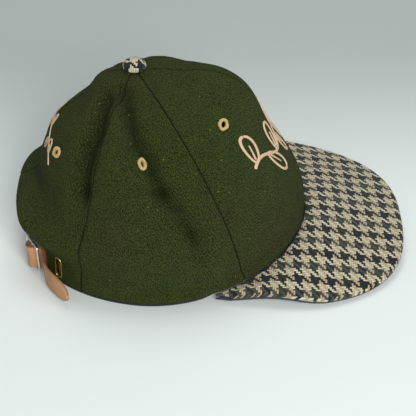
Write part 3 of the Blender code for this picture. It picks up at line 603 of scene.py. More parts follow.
def tweed_finish(name, warps, wefts):
    """Houndstooth: a two-and-two twill of four-thread stripes, both ways, in woolly yarn.

    The warps and the wefts are three yarns each, every yarn a dark and a pale colour.
    """
    mat, shader, place = new_finish(name, 0.9, Sheen_Weight=0.12,
                                    Sheen_Roughness=0.5, Specular_IOR_Level=0.2)
    cloth = woven_place(mat)
    x = cloth.part(0) + (place.noise(420.0, 2.0) - 0.5) * 0.0007
    y = cloth.part(1) + (place.noise(390.0, 2.0) - 0.5) * 0.0007
    across, down = x / THREAD, y / THREAD
    i, j = across.floor(), down.floor()
    fx, fy = across - i, down - j
    step = (i + j) % 4.0
    on_top = step < 1.5
    warp_stripe = (i % 16.0) / 4.0
    weft_stripe = (j % 16.0) / 4.0
    yarn = place.noise(1500.0, 2.0, 0.7)
    tan, navy, green = (yarn.tint(*pair) for pair in warps)
    white, black, grey = (yarn.tint(*pair) for pair in wefts)
    odd_warp = (warp_stripe % 2.0) < 1.0
    dark_warp = (warp_stripe < 2.0).tint(green, navy)
    warp = odd_warp.tint(dark_warp, tan)
    odd_weft = (weft_stripe % 2.0) < 1.0
    dark_weft = (weft_stripe < 2.0).tint(grey, black)
    weft = odd_weft.tint(dark_weft, white)
    colour = on_top.tint(weft, warp)
    round_x = 1.0 - (fx * 2.0 - 1.0).math("POWER", 2.0)
    round_y = 1.0 - (fy * 2.0 - 1.0).math("POWER", 2.0)
    along_warp = ((step + fy) / 2.0 * pi).math("SINE").math("ABSOLUTE")
    along_weft = (((step - 2.0).math("ABSOLUTE") + fx) / 2.0 * pi).math("SINE").math("ABSOLUTE")
    warp_rise = round_x * (0.45 + along_warp * 0.55)
    weft_rise = round_y * (0.45 + along_weft * 0.55)
    rise = on_top * warp_rise + (1.0 - on_top) * weft_rise
    # Painted shade: each thread's colour is dimmed where it dips under its neighbours and kept full
    # on its crown.
    shade = (rise * 1.5 + 0.25).clamp()
    dim = shade.tint((0.30, 0.30, 0.30), (1.0, 1.0, 1.0))
    colour = shade.make("ShaderNodeMix", {"data_type": "RGBA", "blend_type": "MULTIPLY"},
                        {0: 1.0, 6: colour, 7: dim}, 2)
    fuzz = place.noise(2600.0, 3.0, 0.7)
    feed(shader, Base_Color=colour, Normal=(rise + fuzz * 0.35).bump(0.7, 0.0006))
    return mat


def cotton_finish(name, low, high, pitch, turn=0.6):
    """Plain woven cotton in one colour, with a fine twill line."""
    mat, shader, place = new_finish(name, 0.85, Sheen_Weight=0.1)
    lines = place.make("ShaderNodeTexWave", {"wave_type": "BANDS", "bands_direction": "DIAGONAL"},
                       {"Vector": place.stretch(1.0, 1.0, 1.0, turn), "Scale": pitch,
                        "Distortion": 1.2, "Detail": 2.0, "Detail Scale": 6.0}, 1)
    yarn = place.noise(1400.0, 3.0, 0.6)
    worn = place.noise(35.0, 3.0)
    mix = (lines * 0.45 + yarn * 0.4 + worn * 0.35 - 0.1).clamp()
    feed(shader, Base_Color=mix.tint(low, high), Roughness=0.78 + yarn * 0.15,
         Normal=(lines + yarn * 0.6).bump(0.35, 0.0003))
    return mat


def board_finish():
    """White moulded sheet, faintly pebbled."""
    mat, shader, place = new_finish("bill_board_plastic", 0.45)
    cloud = place.noise(40.0, 3.0)
    pebble = place.noise(1500.0, 2.0)
    feed(shader, Base_Color=cloud.tint((0.66, 0.66, 0.62), (0.78, 0.78, 0.74)),
         Roughness=0.4 + pebble * 0.2, Normal=pebble.bump(0.2, 0.0001))
    return mat


OFF_WHITE = (0.36, 0.33, 0.22), (0.66, 0.61, 0.44)
INK = (0.003, 0.004, 0.007), (0.013, 0.015, 0.020)
TWEED = tweed_finish("check_tweed",
                     (((0.27, 0.205, 0.120), (0.58, 0.475, 0.305)),
                      ((0.004, 0.006, 0.011), (0.015, 0.020, 0.031)),
                      ((0.010, 0.015, 0.006), (0.036, 0.047, 0.019))),
                     (((0.36, 0.330, 0.235), (0.72, 0.665, 0.500)),
                      INK, ((0.024, 0.027, 0.024), (0.085, 0.089, 0.078))))
BUTTON_TWEED = tweed_finish("button_tweed", (OFF_WHITE, INK, INK), (OFF_WHITE, INK, INK))
NAVY_COTTON = cotton_finish("navy_cotton", (0.008, 0.011, 0.022), (0.036, 0.046, 0.078), 260.0)

across = np.linspace(-0.985, 0.985, 200)
down = np.linspace(0.0, 1.0, 60)
lift_top = HALF_BOARD + LAYER_GAP + BILL_COVER
lift_low = -HALF_BOARD - LAYER_GAP - BILL_LINING
edge_middle, edge_half = (lift_top + lift_low) / 2, (lift_top - lift_low) / 2
rows = [(w, lift_top, 0.0, HALF_BOARD + LAYER_GAP, 0.0) for w in down]
for lean in np.radians(np.linspace(82.0, -6.0, 12)):
    rows.append((1.0, edge_middle + edge_half * sin(lean), BILL_LIP * cos(lean),
                 edge_middle + (edge_half - BILL_COVER) * sin(lean),
                 (BILL_LIP - BILL_COVER) * cos(lean)))
table = np.array(rows)
u = across[None, :]
soft = 0.00018 * np.sin(u * 40.0 + 3.0 * table[:, :1]) * np.sin(table[:, :1] * 19.0 + 2.0)
soft = soft * smooth(0.02, 0.2, table[:, :1]) * (1.0 - smooth(0.85, 1.0, table[:, :1]))
tuck = 0.0009 * (1.0 - smooth(0.0, 0.03, table[:, :1]))
cover_outer = bill(u, table[:, :1], table[:, 1:2] + soft - tuck, table[:, 2:3])
cover_inner = bill(u, table[:, :1], table[:, 3:4], table[:, 4:5])
wrapped = np.maximum(table[:, 1:2].max() - table[:, 1:2], 0.0) + table[:, 2:3]
run = bill(u, 1.0, 0.0, 0.001) - bill(u, 1.0, 0.0, 0.0)
run = run[..., :2] / np.linalg.norm(run[..., :2], axis=-1, keepdims=True)
flat = cover_outer[..., :2] + run * (wrapped - table[:, 2:3])[..., None]
tweed_cover = sewn_shell("tweed_bill_cover", cover_outer, cover_inner, TWEED, flat + 0.5)
sew_on(tweed_cover, "bill_cover")

BOARD_PLASTIC = board_finish()
w = np.linspace(0.0, 0.999, 40)[:, None]
short = u * 0.96
board = sewn_shell("bill_board_sheet", bill(short, w, HALF_BOARD), bill(short, w, -HALF_BOARD),
                   BOARD_PLASTIC)
sew_on(board, "bill_board")

low_top = -HALF_BOARD - LAYER_GAP
rows = [(w, lift_low, 0.0, low_top, 0.0) for w in down]
for lean in np.radians(np.linspace(-82.0, -10.0, 9)):
    rows.append((1.0, edge_middle + edge_half * sin(lean), BILL_LIP * cos(lean),
                 edge_middle + (edge_half - BILL_LINING) * sin(lean),
                 (BILL_LIP - BILL_LINING) * cos(lean)))
table = np.array(rows)
quilt = np.maximum(0.00012 * np.cos(table[:, :1] * 2 * pi * 7.5), -0.00005)
quilt = quilt * smooth(0.0, 0.1, table[:, :1]) * (table[:, :1] < 1.0)
lining_low = bill(u, table[:, :1], table[:, 1:2] + quilt, table[:, 2:3])
lining_top = bill(u, table[:, :1], table[:, 3:4], table[:, 4:5])
navy_lining = sewn_shell("navy_bill_lining", lining_top, lining_low, NAVY_COTTON)
sew_on(navy_lining, "bill_lining")

# ---- Inside of the crown -----------------------------------------------------------------
# Two buckram stiffeners back the front panels, navy tape covers every seam, a facing strip
# finishes the rear opening, and a navy twill sweatband stands inside the rim.
STIFFENER = 0.0007
STIFFENER_GAP = 0.0005
TAPE = 0.0005
TAPE_WIDTH = 0.0120
TAPE_GAP = 0.0009
BAND = 0.0016
BAND_GAP = 0.0021
BAND_TALL_T = 0.150
BAND_END = 141.0
FACING_WIDTH = 0.0060
FACING_GAP = 0.0007
FACING_EASE = 0.0014
STITCH_LENGTH = 0.0030


def stitch_rows(cloth, offset, gap_share=0.22, wide=0.00028):
    """Two rows of machine stitches, at plus and minus offset across the strip."""
    away = (cloth.part(0).math("ABSOLUTE") - offset).math("ABSOLUTE")
    beat = (cloth.part(1) / STITCH_LENGTH) % 1.0
    return (away < wide) * (beat > gap_share)


def twill_tape_finish(name, low, high, offset, stitch_colour):
    """Navy twill tape with a row of stitches along each edge."""
    mat, shader, place = new_finish(name, 0.85, Sheen_Weight=0.1)
    cloth = woven_place(mat)
    wales = cloth.make("ShaderNodeTexWave", {"wave_type": "BANDS", "bands_direction": "DIAGONAL"},
                       {"Vector": cloth, "Scale": 330.0, "Distortion": 1.5, "Detail": 2.0}, 1)
    yarn = place.noise(1500.0, 3.0, 0.6)
    worn = place.noise(60.0, 3.0)
    mix = (wales * 0.5 + yarn * 0.35 + worn * 0.3 - 0.1).clamp()
    rows = stitch_rows(cloth, offset)
    feed(shader, Base_Color=rows.tint(mix.tint(low, high), stitch_colour),
         Roughness=0.75 + yarn * 0.2,
         Normal=(wales * 0.5 + yarn * 0.4 + rows * 1.2).bump(0.5, 0.0004))
    return mat


def buckram_finish():
    """Stiff off-white scrim: an open net pressed into a starched sheet."""
    mat, shader, place = new_finish("buckram_scrim", 0.8)
    cloth = woven_place(mat)
    across = ((cloth.part(0) / 0.0012) % 1.0 - 0.5).math("ABSOLUTE")
    along = ((cloth.part(1) / 0.0012) % 1.0 - 0.5).math("ABSOLUTE")
    net = across.math("MAXIMUM", along) * 2.0
    fuzz = place.noise(900.0, 3.0)
    mix = (net.math("POWER", 3.0) * 0.7 + fuzz * 0.4).clamp()
    feed(shader, Base_Color=mix.tint((0.40, 0.38, 0.32), (0.66, 0.64, 0.57)),
         Roughness=0.7 + fuzz * 0.25, Normal=(net + fuzz).bump(0.4, 0.0003))
    return mat


BUCKRAM = buckram_finish()
TAPE_TWILL = twill_tape_finish("navy_seam_tape", (0.006, 0.008, 0.016), (0.026, 0.032, 0.052),
                               0.0047, (0.060, 0.066, 0.085))

for side, seam_a, seam_b in (("left", level(0.0), front_seam),
                             ("right", lambda t: -front_seam(t), level(0.0))):
    share = np.linspace(0.0, 1.0, 60)[None, :]
    t = np.linspace(0.001, APEX_HOLE_T - 0.004, 90)[:, None]
    a, b = seam_a(t) + gap_angle(t, 0.0004), seam_b(t) - gap_angle(t, 0.0004)
    angle = a + (b - a) * share
    depth = WOOL + STIFFENER_GAP
    weave = np.stack([gap_angle(t, 1.0) ** -1 * (angle - 30.0), 0.0 * angle + t * CLOTH_TALL], -1)
    piece = sewn_shell("buckram_" + side, crown(angle, t, depth),
                       crown(angle, t, depth + STIFFENER), BUCKRAM, weave)
    panels["stiffener_" + side] = piece
    sew_on(piece, "stiffener_" + side)

SEAM_TAPES = (
    ("front", level(0.0), 0.02, 0.90), ("back", level(180.0), ARCH_TOP_T + 0.055, 0.90),
    ("front_side_left", front_seam, 0.02, 0.84),
    ("front_side_right", lambda t: -front_seam(t), 0.02, 0.84),
    ("rear_side_left", rear_seam, 0.02, 0.84),
    ("rear_side_right", lambda t: -rear_seam(t), 0.02, 0.84),
)
for name, seam, start, stop in SEAM_TAPES:
    t = np.linspace(start, stop, 110)[:, None]
    place = np.linspace(-1.0, 1.0, 15)[None, :]
    pillow = 0.00025 * (1.0 - np.abs(place) ** 4) + 0.00012 * np.sin(t * 260.0) * np.abs(place)
    angle = seam(t) + gap_angle(t, TAPE_WIDTH / 2) * place
    depth = WOOL + STIFFENER_GAP + STIFFENER + TAPE_GAP
    weave = np.stack(np.broadcast_arrays(place * TAPE_WIDTH / 2, t * CLOTH_TALL), -1)
    tape = sewn_shell("twill_tape_" + name, crown(angle, t, depth + 0.0 * pillow),
                      crown(angle, t, depth + TAPE + pillow), TAPE_TWILL, weave)
    sew_on(tape, "seam_tape_" + name)

turn = np.linspace(0.0, pi, 120)[None, :]
grow = np.linspace(0.0, 1.0, 7)[:, None] * FACING_WIDTH
wide = ARCH_HALF_ANGLE + 0.6 + gap_angle(0.1, grow)
tall = ARCH_TOP_T + 0.004 + grow / CLOTH_TALL
angle = 180.0 - wide * np.cos(turn)
t = np.maximum(tall * np.maximum(np.sin(turn), 0.0) ** ARCH_SQUARENESS, 0.004)
depth = WOOL + FACING_GAP + FACING_EASE * np.sin(turn)
weave = np.stack(np.broadcast_arrays(grow - FACING_WIDTH / 2, turn * 0.055), -1)
FACING_TWILL = twill_tape_finish("navy_facing", (0.006, 0.008, 0.016), (0.026, 0.032, 0.052),
                                 0.0021, (0.060, 0.066, 0.085))
facing = sewn_shell("rear_opening_facing", crown(angle, t, depth), crown(angle, t, depth + TAPE),
                    FACING_TWILL, weave)
sew_on(facing, "arch_facing")

# The sweatband's navy is made very dark: partly the band's own colour, partly painted shade, since
# the strip of it showing below the wool rim stands in for the shadow there.
BAND_TWILL = twill_tape_finish("navy_sweatband_painted_shade", (0.004, 0.005, 0.008), (0.015, 0.017, 0.024),
                               0.0090, (0.030, 0.033, 0.042))
angle = np.linspace(-BAND_END, BAND_END, 420)[None, :]
rise = np.concatenate([[0.0, 0.02, 0.04, 0.06, 0.08], np.linspace(0.1, 0.92, 16), [0.97, 1.0]])
rise = rise[:, None]
t = BAND_TALL_T * (rise + 0.012 * rise * np.sin(np.radians(angle) * 21.0))
depth = WOOL + STIFFENER_GAP + STIFFENER + TAPE_GAP + TAPE + BAND_GAP
pad = 0.00055 * np.sin(pi * rise) * (1.0 + 0.25 * np.sin(np.radians(angle) * 37.0))
lip = 0.0004 * (1.0 - np.sqrt(np.clip(1.0 - np.clip(1.0 - rise / 0.05, 0.0, 1.0) ** 2, 0.0, 1.0)))
# On the sides the band's lower edge flares outward, so that a dark strip of it shows below the wool
# rim as painted shadow.
shadow_strip_flare = 0.0046 * smooth(60.0, 76.0, np.abs(angle)) * (1.0 - smooth(0.0, 0.10, rise))
outer = crown(angle, t, depth + lip - shadow_strip_flare)
inner = crown(angle, t, depth + BAND + pad - lip - shadow_strip_flare)
drop = RIM_HEIGHT * (1.0 - smooth(0.0, 0.35, rise))
outer[..., 2] -= drop
inner[..., 2] -= drop
weave = np.stack(np.broadcast_arrays(rise * 0.022 - 0.013, np.radians(angle) * MEAN_RADIUS), -1)
sweatband = sewn_shell("twill_sweatband", outer, inner, BAND_TWILL, weave)
sew_on(sweatband, "sweatband")

# ---- Eyelets -----------------------------------------------------------------------------
# Six vent holes, each bound all round with closely worked buttonhole stitches in pale gold
# cotton. The stitches grip the wool from both sides.
EYELET_HOLE = 0.0021
EYELET_NECK = 0.0028
EYELET_FLANGE = 0.0043
EYELET_STITCHES = 34
EYELETS = (
    ("front_right", -38.4, 0.587, "right"), ("front_left", 38.4, 0.587, "left"),
    ("side_right", -93.9, 0.532, None), ("side_left", 93.9, 0.532, None),
    ("rear_right", -147.6, 0.476, None), ("rear_left", 147.6, 0.476, None),
)


def thread_finish(name, low, high, across):
    """Twisted cotton: fine slanting plies, paler where the thread rises."""
    mat, shader, place = new_finish(name, 0.6, Sheen_Weight=0.08)
    ply = place.noise(across, 2.0, 0.6)
    worn = place.noise(240.0, 2.0)
    mix = (ply * 0.9 + worn * 0.5 - 0.2).clamp()
    feed(shader, Base_Color=mix.tint(low, high), Roughness=0.5 + ply * 0.3,
         Normal=ply.bump(0.5, 0.0003))
    return mat


def deselect():
    for obj in bpy.context.selected_objects:
        obj.select_set(False)


def settle(name, finish):
    """Name the active piece, dress it and leave its place in its mesh."""
    obj = bpy.context.object
    obj.name = obj.data.name = name
    bpy.ops.object.transform_apply(location=True, rotation=True, scale=True)
    obj.data.materials.clear()
    obj.data.materials.append(finish)
    obj.data.shade_smooth()
    return obj


def place_on_crown(obj, angle, t):
    """Stand a piece modelled about the origin on the wool, its +Z outward and +Y up."""
    normal = crown_normal(angle, t)
    up = Vector((0.0, 0.0, 1.0))
    up = (up - normal * up.dot(normal)).normalized()
    turn = Matrix((up.cross(normal), up, normal)).transposed().to_4x4()
    obj.data.transform(Matrix.Translation(Vector(crown(angle, t))) @ turn)


GOLD_THREAD = thread_finish("gold_cotton", (0.30, 0.20, 0.065), (0.62, 0.46, 0.21), 2400.0)


def worked_eyelet(name, seed):
    """A ring whose section is drawn out into a spool, then ribbed by its stitches."""
    deselect()
    bpy.ops.mesh.primitive_torus_add(major_segments=204, minor_segments=28,
                                     major_radius=0.0028, minor_radius=0.0014)
    obj = bpy.context.object
    for v in obj.data.vertices:
        around = atan2(v.co.y, v.co.x)
        away = hypot(v.co.x, v.co.y) - 0.0028
        turn = atan2(v.co.z, away)
        rib = abs(sin(around * EYELET_STITCHES / 2 + 0.35 * sin(3.0 * around + seed)))
        uneven = 0.00010 * sin(5.0 * around + seed) + 0.00010 * sin(11.0 * around + 2.0 * seed)
        slant = 0.5 + 0.5 * cos(2.0 * (around - 0.75))
        rise = 0.00085 + 0.00022 * rib
        outward = EYELET_FLANGE - 0.0006 + 0.0006 * slant ** 3 + 0.00014 * rib + uneven
        hole = EYELET_HOLE * (0.72 + 0.45 * slant ** 2) - 0.00010 * rib
        share = (cos(turn) + 1.0) / 2
        radius = hole + (outward - hole) * share
        crest = rise * abs(sin(turn)) ** 0.7
        body = 0.0005 if sin(turn) < 0.0 else 0.0002
        grip = crest + (body if share < 0.55 else body * (1.0 - (share - 0.55) / 0.45))
        v.co = Vector((radius * cos(around), radius * sin(around),
                       grip if sin(turn) >= 0.0 else -grip))
    return settle(name, GOLD_THREAD)


def punch(target, frame_angle, t, outline_radius):
    """Cut a round hole through a cloth piece."""
    deselect()
    bpy.ops.mesh.primitive_cylinder_add(vertices=40, radius=outline_radius, depth=0.012)
    tool = bpy.context.object
    place_on_crown(tool, frame_angle, t)
    subtract(target, tool)


def subtract(target, tool):
    mod = target.modifiers.new("hole", "BOOLEAN")
    mod.operation = "DIFFERENCE"
    mod.solver = "EXACT"
    mod.object = tool
    bpy.context.view_layer.objects.active = target
    bpy.ops.object.modifier_apply(modifier=mod.name)
    bpy.data.objects.remove(tool, do_unlink=True)
    target.data.shade_smooth()


for count, (name, angle, t, backed) in enumerate(EYELETS):
    eyelet = worked_eyelet("worked_eyelet_" + name, 1.7 * count)
    place_on_crown(eyelet, angle, t)
    sew_on(eyelet, "eyelet_" + name)
    punch(panels[name], angle, t, EYELET_NECK - 0.0004)
    if backed:
        punch(panels["stiffener_" + backed], angle, t, EYELET_NECK + 0.0002)

# ---- Button ------------------------------------------------------------------------------
# A domed metal button covered in the bill's check cloth, at the meeting of the six seams.
# Its post goes through the crown and is closed over a washer inside.
BUTTON_RADIUS = 0.0078
BUTTON_DOME = 0.0050
BUTTON_FOOT = 0.0004
deselect()
bpy.ops.mesh.primitive_uv_sphere_add(segments=96, ring_count=48, radius=1.0)
bpy.ops.object.mode_set(mode="EDIT")
bpy.ops.mesh.bisect(plane_co=(0.0, 0.0, -0.30), plane_no=(0.0, 0.0, 1.0), clear_inner=True)
bpy.ops.object.mode_set(mode="OBJECT")
button = bpy.context.object
for v in button.data.vertices:
    around = atan2(v.co.y, v.co.x)
    low = max(0.25 - v.co.z, 0.0) / 0.55
    pleat = 1.0 + 0.016 * low * sin(18.0 * around)
    square = 1.0 + 0.05 * (1.0 - abs(v.co.z))
    v.co = Vector((v.co.x * BUTTON_RADIUS * pleat * square / 1.05,
                   v.co.y * BUTTON_RADIUS * pleat * square / 1.05,
                   BUTTON_FOOT + 0.0018 + v.co.z * (BUTTON_DOME - 0.0002)))
layer = button.data.uv_layers.active
layer.name = "weave"
for loop in button.data.loops:
    co = button.data.vertices[loop.vertex_index].co
    reach = hypot(co.x, co.y)
    arc = reach * (1.0 + 0.28 * (reach / BUTTON_RADIUS) ** 3)
    spread = arc / max(reach, 1e-6)
    layer.data[loop.index].uv = (0.50875 + co.x * spread, 0.50875 + co.y * spread)
button = settle("tweed_button", BUTTON_TWEED)
wall = button.modifiers.new("cloth", "SOLIDIFY")
wall.thickness = 0.0009
wall.offset = -1.0
bpy.ops.object.modifier_apply(modifier=wall.name)
button.data.transform(Matrix.Translation((APEX_X, 0.0, APEX_HEIGHT)))
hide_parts("button_cover")
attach(button, "button")


def metal_finish(name, low, high, roughness, scale):
    """Plated metal with handling marks and dull patches."""
    mat, shader, place = new_finish(name, roughness, metallic=1.0)
    film = place.noise(scale, 4.0, 0.6)
    scratch = place.stretch(1.0, 7.0, 1.0, 0.5).noise(scale * 5.0, 2.0, 0.7)
    mix = (film * 0.8 + scratch * 0.4 - 0.1).clamp()
    feed(shader, Base_Color=mix.tint(low, high), Roughness=roughness * 0.7 + film * roughness * 0.7,
         Normal=scratch.bump(0.12, 0.0001))
    return mat


STEEL = metal_finish("nickel_plate", (0.50, 0.50, 0.50), (0.86, 0.86, 0.85), 0.24, 420.0)
for node in ("button_core", "button_washer"):
    bpy.data.objects[node].data.materials.clear()
    bpy.data.objects[node].data.materials.append(STEEL)

# ---- Embroidered sprigs ------------------------------------------------------------------
# A leafy sprig in peach satin stitch across the two front panels and a smaller one arched
# over the rear opening. Each line is a raised row of close parallel stitches.
SATIN_RISE = 0.00095
FRONT_STROKE = 0.00118
REAR_STROKE = 0.00062


def satin_stroke(points, half_start, half_end, place, taper=0.0012):
    """One raised stroke along flat points: rings of a flattened half-round, ribbed by stitches."""
    points = np.array(points)
    gaps = np.hypot(*np.diff(points, axis=0).T)
    run = np.concatenate([[0.0], np.cumsum(gaps)])
    count = max(int(run[-1] / 0.00024), 8)
    s = np.linspace(0.0, run[-1], count)
    x, y = np.interp(s, run, points[:, 0]), np.interp(s, run, points[:, 1])
    tx, ty = np.gradient(x), np.gradient(y)
    size = np.hypot(tx, ty)
    nx, ny = -ty / size, tx / size
    end = np.minimum(s, run[-1] - s)
    round_off = np.sqrt(np.clip(1.0 - (1.0 - np.clip(end / taper, 0.02, 1.0)) ** 2, 0.0, 1.0))
    half = (half_start + (half_end - half_start) * s / run[-1]) * round_off
    half = half + 0.00005 * np.sin(s * 5200.0) + 0.00004 * np.sin(s * 1900.0 + 1.0)
    half = np.maximum(half, 0.00006)
    turn = np.linspace(-0.35, pi + 0.35, 10)
    wide = np.cos(turn)[None, :] * half[:, None]
    rib = 1.0 + 0.10 * np.sin(s * 2 * pi / 0.00072)
    tall = np.sin(turn)[None, :] * (SATIN_RISE * round_off * rib)[:, None]
    px, py = x[:, None] + nx[:, None] * wide, y[:, None] + ny[:, None] * wide
    return place(px, py, tall), np.stack([wide, np.broadcast_to(s[:, None], wide.shape)], -1)


def stroke_mesh(name, strokes, finish):
    """Join the strokes' rings into one mesh, each stroke closed below and at both ends."""
    verts, faces, coords = [], [], []
    for rings, weave in strokes:
        rows, cols = rings.shape[:2]
        base = len(verts)
        verts += rings.reshape(-1, 3).tolist()
        coords += weave.reshape(-1, 2).tolist()
        for r in range(rows - 1):
            for c in range(cols):
                d = (c + 1) % cols
                p, q = base + r * cols, base + (r + 1) * cols
                faces.append((p + c, p + d, q + d, q + c))
        faces.append([base + c for c in range(cols)][::-1])
        faces.append([base + (rows - 1) * cols + c for c in range(cols)])
    mesh = bpy.data.meshes.new(name)
    mesh.from_pydata(verts, [], faces)
    layer = mesh.uv_layers.new(name="weave")
    for loop in mesh.loops:
        layer.data[loop.index].uv = coords[loop.vertex_index]
    build = bmesh.new()
    build.from_mesh(mesh)
    bmesh.ops.recalc_face_normals(build, faces=build.faces)
    build.to_mesh(mesh)
    build.free()
    mesh.materials.append(finish)
    mesh.shade_smooth()
    obj = bpy.data.objects.new(name, mesh)
    bpy.context.scene.collection.objects.link(obj)
    return obj


def satin_finish():
    """Rayon embroidery thread: glossy, laid side by side across each stroke."""
    mat, shader, place = new_finish("peach_satin_thread", 0.38, Specular_IOR_Level=0.6)
    cloth = woven_place(mat)
    thread = ((cloth.part(1) / 0.00036) % 1.0 - 0.5).math("ABSOLUTE") * 2.0
    strand = cloth.stretch(500.0, 5200.0, 1.0).noise(1.0, 2.0, 0.6)
    # Painted shade: each laid thread is coloured darker towards its edges, in the groove beside the
    # next.
    mix = (strand * 1.3 - 0.25 - thread * 0.25).clamp()
    feed(shader, Base_Color=mix.tint((0.45, 0.295, 0.175), (0.90, 0.70, 0.50)),
         Roughness=0.30 + strand * 0.25,
         Normal=((1.0 - thread) + strand * 0.5).bump(0.35, 0.0002))
    return mat


PEACH_SATIN = satin_finish()


def leaf_strokes(x, y, direction, length, half, place, spread=0.24):
    """A leaf drawn as two curved sides and a short vein."""
    a = radians(direction)
    strokes = []
    for side in (1.0, -1.0):
        line = []
        for k in range(25):
            turn = pi * k / 24
            lx = length * (0.5 - 0.5 * cos(turn))
            ly = side * length * spread * sin(turn) * (1.0 - 0.25 * cos(turn))
            line.append((x + lx * cos(a) - ly * sin(a), y + lx * sin(a) + ly * cos(a)))
        strokes.append(satin_stroke(line, half * 0.75, half * 0.95, place))
    vein = [(x + length * u * cos(a), y + length * u * sin(a)) for u in (0.10, 0.35, 0.66)]
    strokes.append(satin_stroke(vein, half * 0.7, half * 0.35, place))
    return strokes


def front_place(x, y, h):
    t = 0.385 + y / CLOTH_TALL
    return crown(gap_angle(t, x), t, 0.0003 - h)


def rear_place(x, y, h):
    t = 0.405 + y / 0.160
    return crown(180.0 - gap_angle(t, x), t, 0.0003 - h)


stem = [(-0.050 + 0.0025 * k, 0.0035 * sin(k * 0.3875)) for k in range(41)]
strokes = [satin_stroke(stem, FRONT_STROKE, FRONT_STROKE, front_place)]
for k in range(8):
    x = -0.045 + 0.0128 * k
    strokes += leaf_strokes(x, 0.0035 * sin((x + 0.050) * 155.0), 66.0 - 128.0 * (k % 2), 0.0195,
                            FRONT_STROKE, front_place)
front_sprig = stroke_mesh("satin_sprig_front", strokes, PEACH_SATIN)
sew_on(front_sprig, "embroidery_front")

stem = [(-0.036 + 0.002 * k, 0.020 * (1.0 - ((k - 18) / 18.0) ** 2)) for k in range(37)]
strokes = [satin_stroke(stem, REAR_STROKE, REAR_STROKE, rear_place, 0.0008)]
for k in range(7):
    x = -0.030 + 0.009 * k
    strokes += leaf_strokes(x, 0.020 * (1.0 - (x / 0.036) ** 2), 62.0 - 122.0 * (k % 2), 0.0095,
                            REAR_STROKE, rear_place)
rear_sprig = stroke_mesh("satin_sprig_rear", strokes, PEACH_SATIN)
sew_on(rear_sprig, "embroidery_rear")

# ---- Leather strap -----------------------------------------------------------------------
# A tan vegetable-tanned strap closes the rear opening. Its long end is sewn under the left
# of the arch, bends out over the slide's middle bar and hangs free as a tail; a short tab
# sewn under the right of the arch holds the slide.
STRAP_WIDTH = 0.0180
LEATHER = 0.0013
STRAP_Z = 0.0122
SLIDE_ANGLE = -151.0
SLIDE_OUT = 0.0018
ANCHOR_ANGLE = 137.5
ANCHOR_INSET = 0.00465
ANCHOR_LEAN = 0.0015
TIP_LENGTH = 0.014
TIP_TRIM = 0.0078
TAIL_DROOP = 0.0034


def slide_point(s, n):
    """A place by its length along the strap from the middle bar, and outward from it."""
    a = radians(SLIDE_ANGLE)
    along = Vector((-RIM_HALF_LENGTH * sin(a), RIM_HALF_WIDTH * cos(a), 0.0)).normalized()
    out = Vector((along.y, -along.x, 0.0))
    centre = Vector(rim(SLIDE_ANGLE)) + out * SLIDE_OUT
    centre.z = STRAP_Z
    return centre + along * s + out * n


def eased_line(knots, per_span):
    """A smooth line through plan points."""
    knots = [np.array(k) for k in knots]
    knots = [2 * knots[0] - knots[1]] + knots + [2 * knots[-1] - knots[-2]]
    line = []
    for p0, p1, p2, p3 in zip(knots, knots[1:], knots[2:], knots[3:]):
        for step in range(per_span):
            u = step / per_span
            line.append(0.5 * (2 * p1 + (p2 - p0) * u + (2 * p0 - 5 * p1 + 4 * p2 - p3) * u * u
                               + (3 * p1 - p0 - 3 * p2 + p3) * u * u * u))
    line.append(knots[-2])
    return np.array(line)


def leather_finish():
    """Tan leather: fine grain and creases, rubbed paler, its cut edges burnished dark."""
    mat, shader, place = new_finish("tan_leather", 0.55, Specular_IOR_Level=0.35)
    cloth = woven_place(mat)
    grain = place.make("ShaderNodeTexVoronoi", {"feature": "DISTANCE_TO_EDGE"},
                       {"Vector": place, "Scale": 1500.0})
    pores = place.noise(2600.0, 3.0, 0.6)
    cloud = place.noise(85.0, 4.0, 0.6)
    crease = place.stretch(1.0, 1.0, 4.0).noise(330.0, 3.0, 0.6)
    mix = (cloud * 1.5 + pores * 0.35 + crease * 0.3 - 0.6).clamp()
    face = mix.tint((0.33, 0.142, 0.056), (0.60, 0.325, 0.165))
    edge = (cloth.part(0).math("ABSOLUTE") - (STRAP_WIDTH / 2 - 0.0009)) / 0.0007
    edge = edge.clamp()
    colour = (edge * 0.75).tint(face, (0.165, 0.085, 0.048))
    feed(shader, Base_Color=colour, Roughness=0.46 + pores * 0.25,
         Normal=(grain * 1.5 + crease * 0.8 + pores * 0.3).bump(0.35, 0.0003))
    return mat


TAN_LEATHER = leather_finish()


